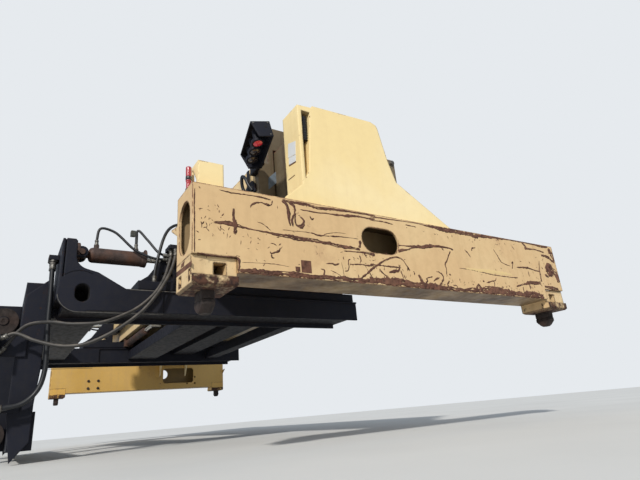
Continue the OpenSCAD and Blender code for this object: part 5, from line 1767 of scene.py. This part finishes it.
@dataclass
class LampTrim(Trim):
    """Bezels and the lit lens of the lamp hood, set along the hood's tilted row of lamps.

    Attributes:
        at: Middle of the hood.
        turn: Its turns about X, Y and Z in degrees.
        length: Its length.
        height: Its height.
        inset: First lamp from the hood's end.
        pitch: From lamp to lamp.
        radius: Radius of a lens.
        lamps: How many lamps it has.
        sides: Points round a lens.
        hole: Place of the hole in the hood's end, in its own y and z.
        screws: Places of the screws round it.
    """

    at: Point = (2.881, 0.875, 0.856)
    turn: Point = (9.2, -7.7, -12.6)
    length: float = 0.256
    height: float = 0.090
    inset: float = 0.066
    pitch: float = 0.065
    radius: float = 0.025
    lamps: int = 3
    sides: int = 32
    hole: tuple[float, float] = (0.02068, 0.012)
    screws: Rows = ((-0.036, 0.036), (0.036, 0.036), (0.036, -0.034))

    def placed(self, form: Form) -> Form:
        """Turns a form about X, then Y, then Z, and moves it to the hood.

        Args:
            form: A form in the hood's own frame.

        Returns:
            The form in the part's frame.
        """
        a, b, c = np.radians(self.turn)
        about_x = np.array([[1, 0, 0], [0, math.cos(a), -math.sin(a)], [0, math.sin(a), math.cos(a)]])
        about_y = np.array([[math.cos(b), 0, math.sin(b)], [0, 1, 0], [-math.sin(b), 0, math.cos(b)]])
        about_z = np.array([[math.cos(c), -math.sin(c), 0], [math.sin(c), math.cos(c), 0], [0, 0, 1]])
        return replace(form, points=form.points @ (about_z @ about_y @ about_x).T + np.array(self.at))

    def lamp(self, number: int) -> Point:
        """Returns the middle of a lamp's lower face in the hood's own frame."""
        return (self.length / 2 - self.inset - number * self.pitch, -0.014, -self.height / 2 + 0.004)

    def build(self) -> None:
        """Makes the bezels, the lit lens over the first lamp, painted shade in the hole, and the screws in
        the hood's end.
        """
        r, end = self.radius, self.length / 2
        rim = (
            (r + 0.0006, 0.004), (r + 0.0006, 0.022), (r + 0.0045, 0.022), (r + 0.005, 0.006),
            (r + 0.003, 0.0035),
        )
        bezels = merged([ring(rim, self.lamp(i), (OUT, ALONG, UP), self.sides) for i in range(self.lamps)])
        dome = ((0.001, 0.0020), (r * 0.88, 0.0062), (r * 0.88, 0.0052), (r * 0.55, 0.0008), (0.001, -0.0008))
        lit = turned(dome, self.lamp(0), UP, self.sides)
        # Painted shade: a dark disc stands for the unlit inside of the hole.
        hole = turned(((0.006, 0), (0.006, 0.0008), (0.001, 0.0009)), (end, *self.hole), OUT, 20)
        heads = merged([cap((end, y, z), OUT, radius=0.0042, height=0.003) for y, z in self.screws])
        for piece in (
            Piece("lamp_bezels", bezels, BLACK, "black_paint"),
            Piece("lit_lamp_glass", lit, LENS_LIT, "red_lens"),
            Piece("hood_hole_shade", hole, PAINTED_SHADE_LINING, "black_paint"),
            Piece("hood_screws", heads, ZINC, "forged_steel"),
        ):
            self.add(replace(piece, form=self.placed(piece.form)), "main_frame")


@dataclass
class ArmTrim(Trim):
    """Weld beads, worn edges, painted shade lining the eyes, pin caps, and the rings and ports of the reach
    cylinders.

    Attributes:
        outer: Where the right-hand arm's outer face lies.
        disk_at: Middle of the disk that the arm ends in, as y and z.
        disk: Radius of the bead round it.
        recess: Radius of the worn edge under it.
        eye: Width and height of the eye in it.
        eye_at_mm: Middle of the eye, as y and z in millimetres.
        barrel_at: Axis of the cylinder, as x and z.
        bore: Inner radius of the rings on its barrel.
        rings: Outer radius, start and end in y of each ring.
        ring_sides: Points round a ring.
        port: Foot of the front port's pipe.
        block_at: Middle of the inner face of the block over it.
        pins: Where the caps of the rod's pin sit, and their directions.
    """

    outer: float = 1.479
    disk_at: tuple[float, float] = (0.300, 0.436)
    disk: float = 0.144
    recess: float = 0.1235
    eye: tuple[float, float] = (0.088, 0.119)
    eye_at_mm: tuple[float, float] = (317, 436)
    barrel_at: tuple[float, float] = (1.273, 0.765)
    bore: float = 0.0520
    rings: Rows = ((0.0652, 0.724, 0.7366), (0.0695, 0.282, 0.300))
    ring_sides: int = 48
    port: Point = (1.273, 0.667, 0.872)
    block_at: Point = (1.258, 0.641, 0.950)
    pins: tuple = (((1.339, 0.905, 0.755), OUT), ((1.207, 0.905, 0.755), IN))

    def build(self) -> None:
        """Makes the trim of both arms; the left arm mirrors the right one."""
        x, y, _ = self.port
        outline = rounded_outline(width=0.032, height=0.042, radius=0.004)
        block = slab(outline, lift=0.030, origin=self.block_at)
        pipe = tube(smooth_path([self.port, (x, y, 0.950)], step=0.006), radius=0.0105, sides=14)
        rings = merged([self.barrel_ring(*row) for row in self.rings])
        pins = merged([cap(at, out, radius=0.030, height=0.010) for at, out in self.pins])
        for piece in (
            Piece("arm_beads", self.beads(), BLACK, "black_paint"),
            Piece("worn_edges", self.worn_edges(), WORN_EDGE, "black_paint"),
            # The eyes are lined with painted shade so that they read black.
            Piece("eye_shade_linings", self.eye_shade_lining(), PAINTED_SHADE_LINING, "black_paint"),
            Piece("barrel_rings", rings, BARREL, "rusty_barrel"),
            Piece("port_blocks", block, ZINC_DULL, "forged_steel"),
            Piece("port_pipes", pipe, HOSE, "hose_rubber"),
        ):
            self.add_at_sides(piece, "lift_frame")
        self.add_at_sides(Piece("rod_pin_caps", pins, FORGED, "forged_steel"), "saddle")

    def beads(self) -> Form:
        """Makes the weld beads over the disk and up the arm's end.

        Returns:
            Both beads.
        """
        over = arc((self.outer, *self.disk_at), self.disk, start=130, end=62, count=60)
        x = self.outer - 0.012
        upright = smooth_path([(x, 0.822, 0.350), (x, 0.822, 0.470)], step=0.004)
        return merged([bead(over, width=0.006, out=OUT), bead(upright, width=0.009, out=unit((1, 1, 0)))])

    def worn_edges(self) -> Form:
        """Makes the rubbed edge, from under the disk along the arm, and the rubbed line along its top.

        Returns:
            The edge and the line.
        """
        low = arc((self.outer, *self.disk_at), self.recess, start=188, end=270, count=40)
        edge = [(self.outer, y, 0.3125) for y in (0.500, 0.818)]
        lip = smooth_path([tuple(low[-1]), *edge], step=0.008)
        top_mm = ((1479, 600, 470.5), (1479, 1010, 470.5), (1479, 1010, 476.5), (1479, 600, 476.5))
        under = bead(np.vstack([low, lip[1:]]), width=0.0045, out=OUT)
        return merged([under, plate(top_mm, lift=0.6 * MM, out=OUT)])

    def eye_shade_lining(self) -> Form:
        """Makes the painted shade that lines the eye, half a millimetre inside its edge.

        Returns:
            The lining.
        """
        width, height = (size - MM for size in self.eye)
        outline = rounded_outline(width, height, width / 2) / MM + self.eye_at_mm
        return cup(outline, self.outer - 0.200, self.outer - 0.005)

    def barrel_ring(self, outer: float, start: float, end: float) -> Form:
        """Makes a ring round the cylinder's barrel, with both outer edges broken by 3 mm.

        Args:
            outer: Its outer radius.
            start: Where it starts in y.
            end: Where it ends in y.

        Returns:
            The ring.
        """
        x, z = self.barrel_at
        edge = 3 * MM
        profile = (
            (self.bore, end), (outer - edge, end), (outer, end - edge), (outer, start + edge),
            (outer - edge, start), (self.bore, start),
        )
        return ring(profile, (x, 0, z), (OUT, UP, ALONG), self.ring_sides)


@dataclass
class ValveTrim(Trim):
    """Coil, spool caps and bolts on the valve blocks of the saddle.

    Attributes:
        face: Where the right-hand block's outer face lies.
        coil: Middle of the coil on it, as y and z.
        caps: Places of the spool caps, as y and z.
        bolts: Places of the bolts on the block.
    """

    face: float = 1.3975
    coil: tuple[float, float] = (0.888, 0.735)
    caps: Rows = ((0.862, 0.708), (0.902, 0.708), (0.862, 0.760), (0.902, 0.760))
    bolts: Rows = ((1.43, 0.866, 0.8205), (1.43, 0.916, 0.8205))

    def build(self) -> None:
        """Makes the fittings on both blocks."""
        drum = ((0.014, 0), (0.014, 0.030), (0.012, 0.034), (0.004, 0.035))
        coil = turned(drum, (self.face, *self.coil), OUT, 20)
        caps = [cap((self.face, y, z), OUT, radius=0.008, height=0.007) for y, z in self.caps]
        bolts = [hex_bolt(at, UP, size=0.013) for at in self.bolts]
        fittings = merged([coil, *caps, *bolts])
        self.add_at_sides(Piece("valve_fittings", fittings, ZINC, "forged_steel", sharp=28), "saddle")


@dataclass
class BeaconTrim(Trim):
    """Foot and dark collar of the slim beacon at each end.

    Attributes:
        at: Axis of the right-hand beacon, as x and y.
    """

    at: tuple[float, float] = (2.9495, 0.519)

    def build(self) -> None:
        """Makes the feet and the collars."""
        foot = disc(*self.at, z=0.5125, radius=0.0128, height=0.008)
        collar = disc(*self.at, z=0.560, radius=0.0127, height=0.018)
        self.add_at_ends(
            Piece("beacon_foot", foot, ZINC_DULL, "forged_steel"),
            Piece("beacon_collar", collar, LENS_DIM, "red_lens"),
        )


@dataclass
class LockTrim(Trim):
    """Guide block round each lock's neck, between the seat and the head.

    Attributes:
        lock_x: Axis of the right-hand locks.
        lock_y: Their distance from the spreader's middle.
        low: Underside of the block.
        high: Its top.
        size: Its length and width.
        corner: Radius of its corners.
        chamfer: Height of the chamfer at its underside, which takes in six per cent.
    """

    lock_x: float = 2.9265
    lock_y: float = 1.1295
    low: float = 0.0515
    high: float = 0.0868
    size: tuple[float, float] = (0.098, 0.056)
    corner: float = 0.014
    chamfer: float = 0.004

    def build(self) -> None:
        """Makes the four guide blocks; each stays with its end while the lock turns inside it."""
        outline = rounded_outline(*self.size, self.corner)
        rows = ((outline * 0.94, self.low), (outline, self.low + self.chamfer), (outline, self.high))
        block = grid_form(np.stack([np.column_stack([o, np.full(len(o), z)]) for o, z in rows]))
        pair = merged([block.moved((self.lock_x, SPREADER_Y + s * self.lock_y, 0)) for s in (-1, 1)])
        self.add_at_ends(Piece("lock_guides", pair, FORGED, "forged_steel", sharp=30))


@dataclass
class RollerTrim(Trim):
    """Grease caps on the pins of the carriage's rollers.

    Attributes:
        at: Where the right-hand pins end, on the roller plate.
        radius: Radius of a cap.
        height: Height of a cap.
    """

    at: tuple[Point, ...] = ((0.555, -0.085, 0.430), (0.555, -0.085, -0.360))
    radius: float = 0.030
    height: float = 0.008

    def build(self) -> None:
        """Makes the caps on both sides; they sit on the roller plates."""
        caps = merged([cap(at, OUT, self.radius, self.height) for at in self.at])
        self.add_at_sides(Piece("roller_caps", caps, FORGED, "forged_steel"), "lift_frame")


@dataclass
class EndTrim(Trim):
    """Painted shadow in the gap over each front foot, the torn rust spot beside it, and the bolts on the
    inner face of each end beam.

    Attributes:
        gap_shade_mm: Corners of the dark strip of painted shadow in the gap, in millimetres.
        spot_mm: Corners of the torn spot.
        inner: Where the right-hand beam's inner face lies.
        bolts: Places of the bolts in it, as y and z.
        thread: Thread of the bolts.
    """

    gap_shade_mm: Rows = ((2846, 506, 165), (3038.5, 506, 158), (3038.5, 506, 178), (2846, 506, 187))
    spot_mm: Rows = ((2904, 506, 187), (2944, 506, 188), (2953, 506, 204), (2912, 506, 202))
    inner: float = 2.8445
    bolts: Rows = ((2.480, 0.295), (2.480, 0.196), (2.354, 0.295), (2.354, 0.196))
    thread: float = 0.018

    def build(self) -> None:
        """Makes the trim of both ends; the left end carries the same pieces half a turn round."""
        # Painted shadow: a dark strip where the gap between beam and casting lies in shade.
        gap_shade = plate(self.gap_shade_mm, lift=0.4 * MM, out=BACK)
        spot = plate(self.spot_mm, lift=0.6 * MM, out=BACK)
        bolts = merged([hex_bolt((self.inner, y, z), IN, self.thread) for y, z in self.bolts])
        self.add_at_ends(
            Piece("foot_gap_shade_and_rust_spot", merged([gap_shade, spot]), SCRAPED, "cream_paint"),
            Piece("beam_bolts", bolts, FORGED, "forged_steel", sharp=28),
        )


ASSEMBLIES = (
    BeamMarks, TowerTrim, CollarTrim, LampTrim, ArmTrim, ValveTrim, BeaconTrim, LockTrim, RollerTrim, EndTrim,
)


def main() -> None:
    """Builds the scene: camera and light, then hoses, finishes and trim."""
    logging.basicConfig(level=logging.INFO, format="%(name)s %(message)s")
    np.random.seed(SEED)
    Studio().build()
    paints = Paintbox()
    HoseSet(paints).build()
    paints.dress_nodes()
    for assembly in ASSEMBLIES:
        assembly(paints).build()


if __name__ == "__main__":
    main()
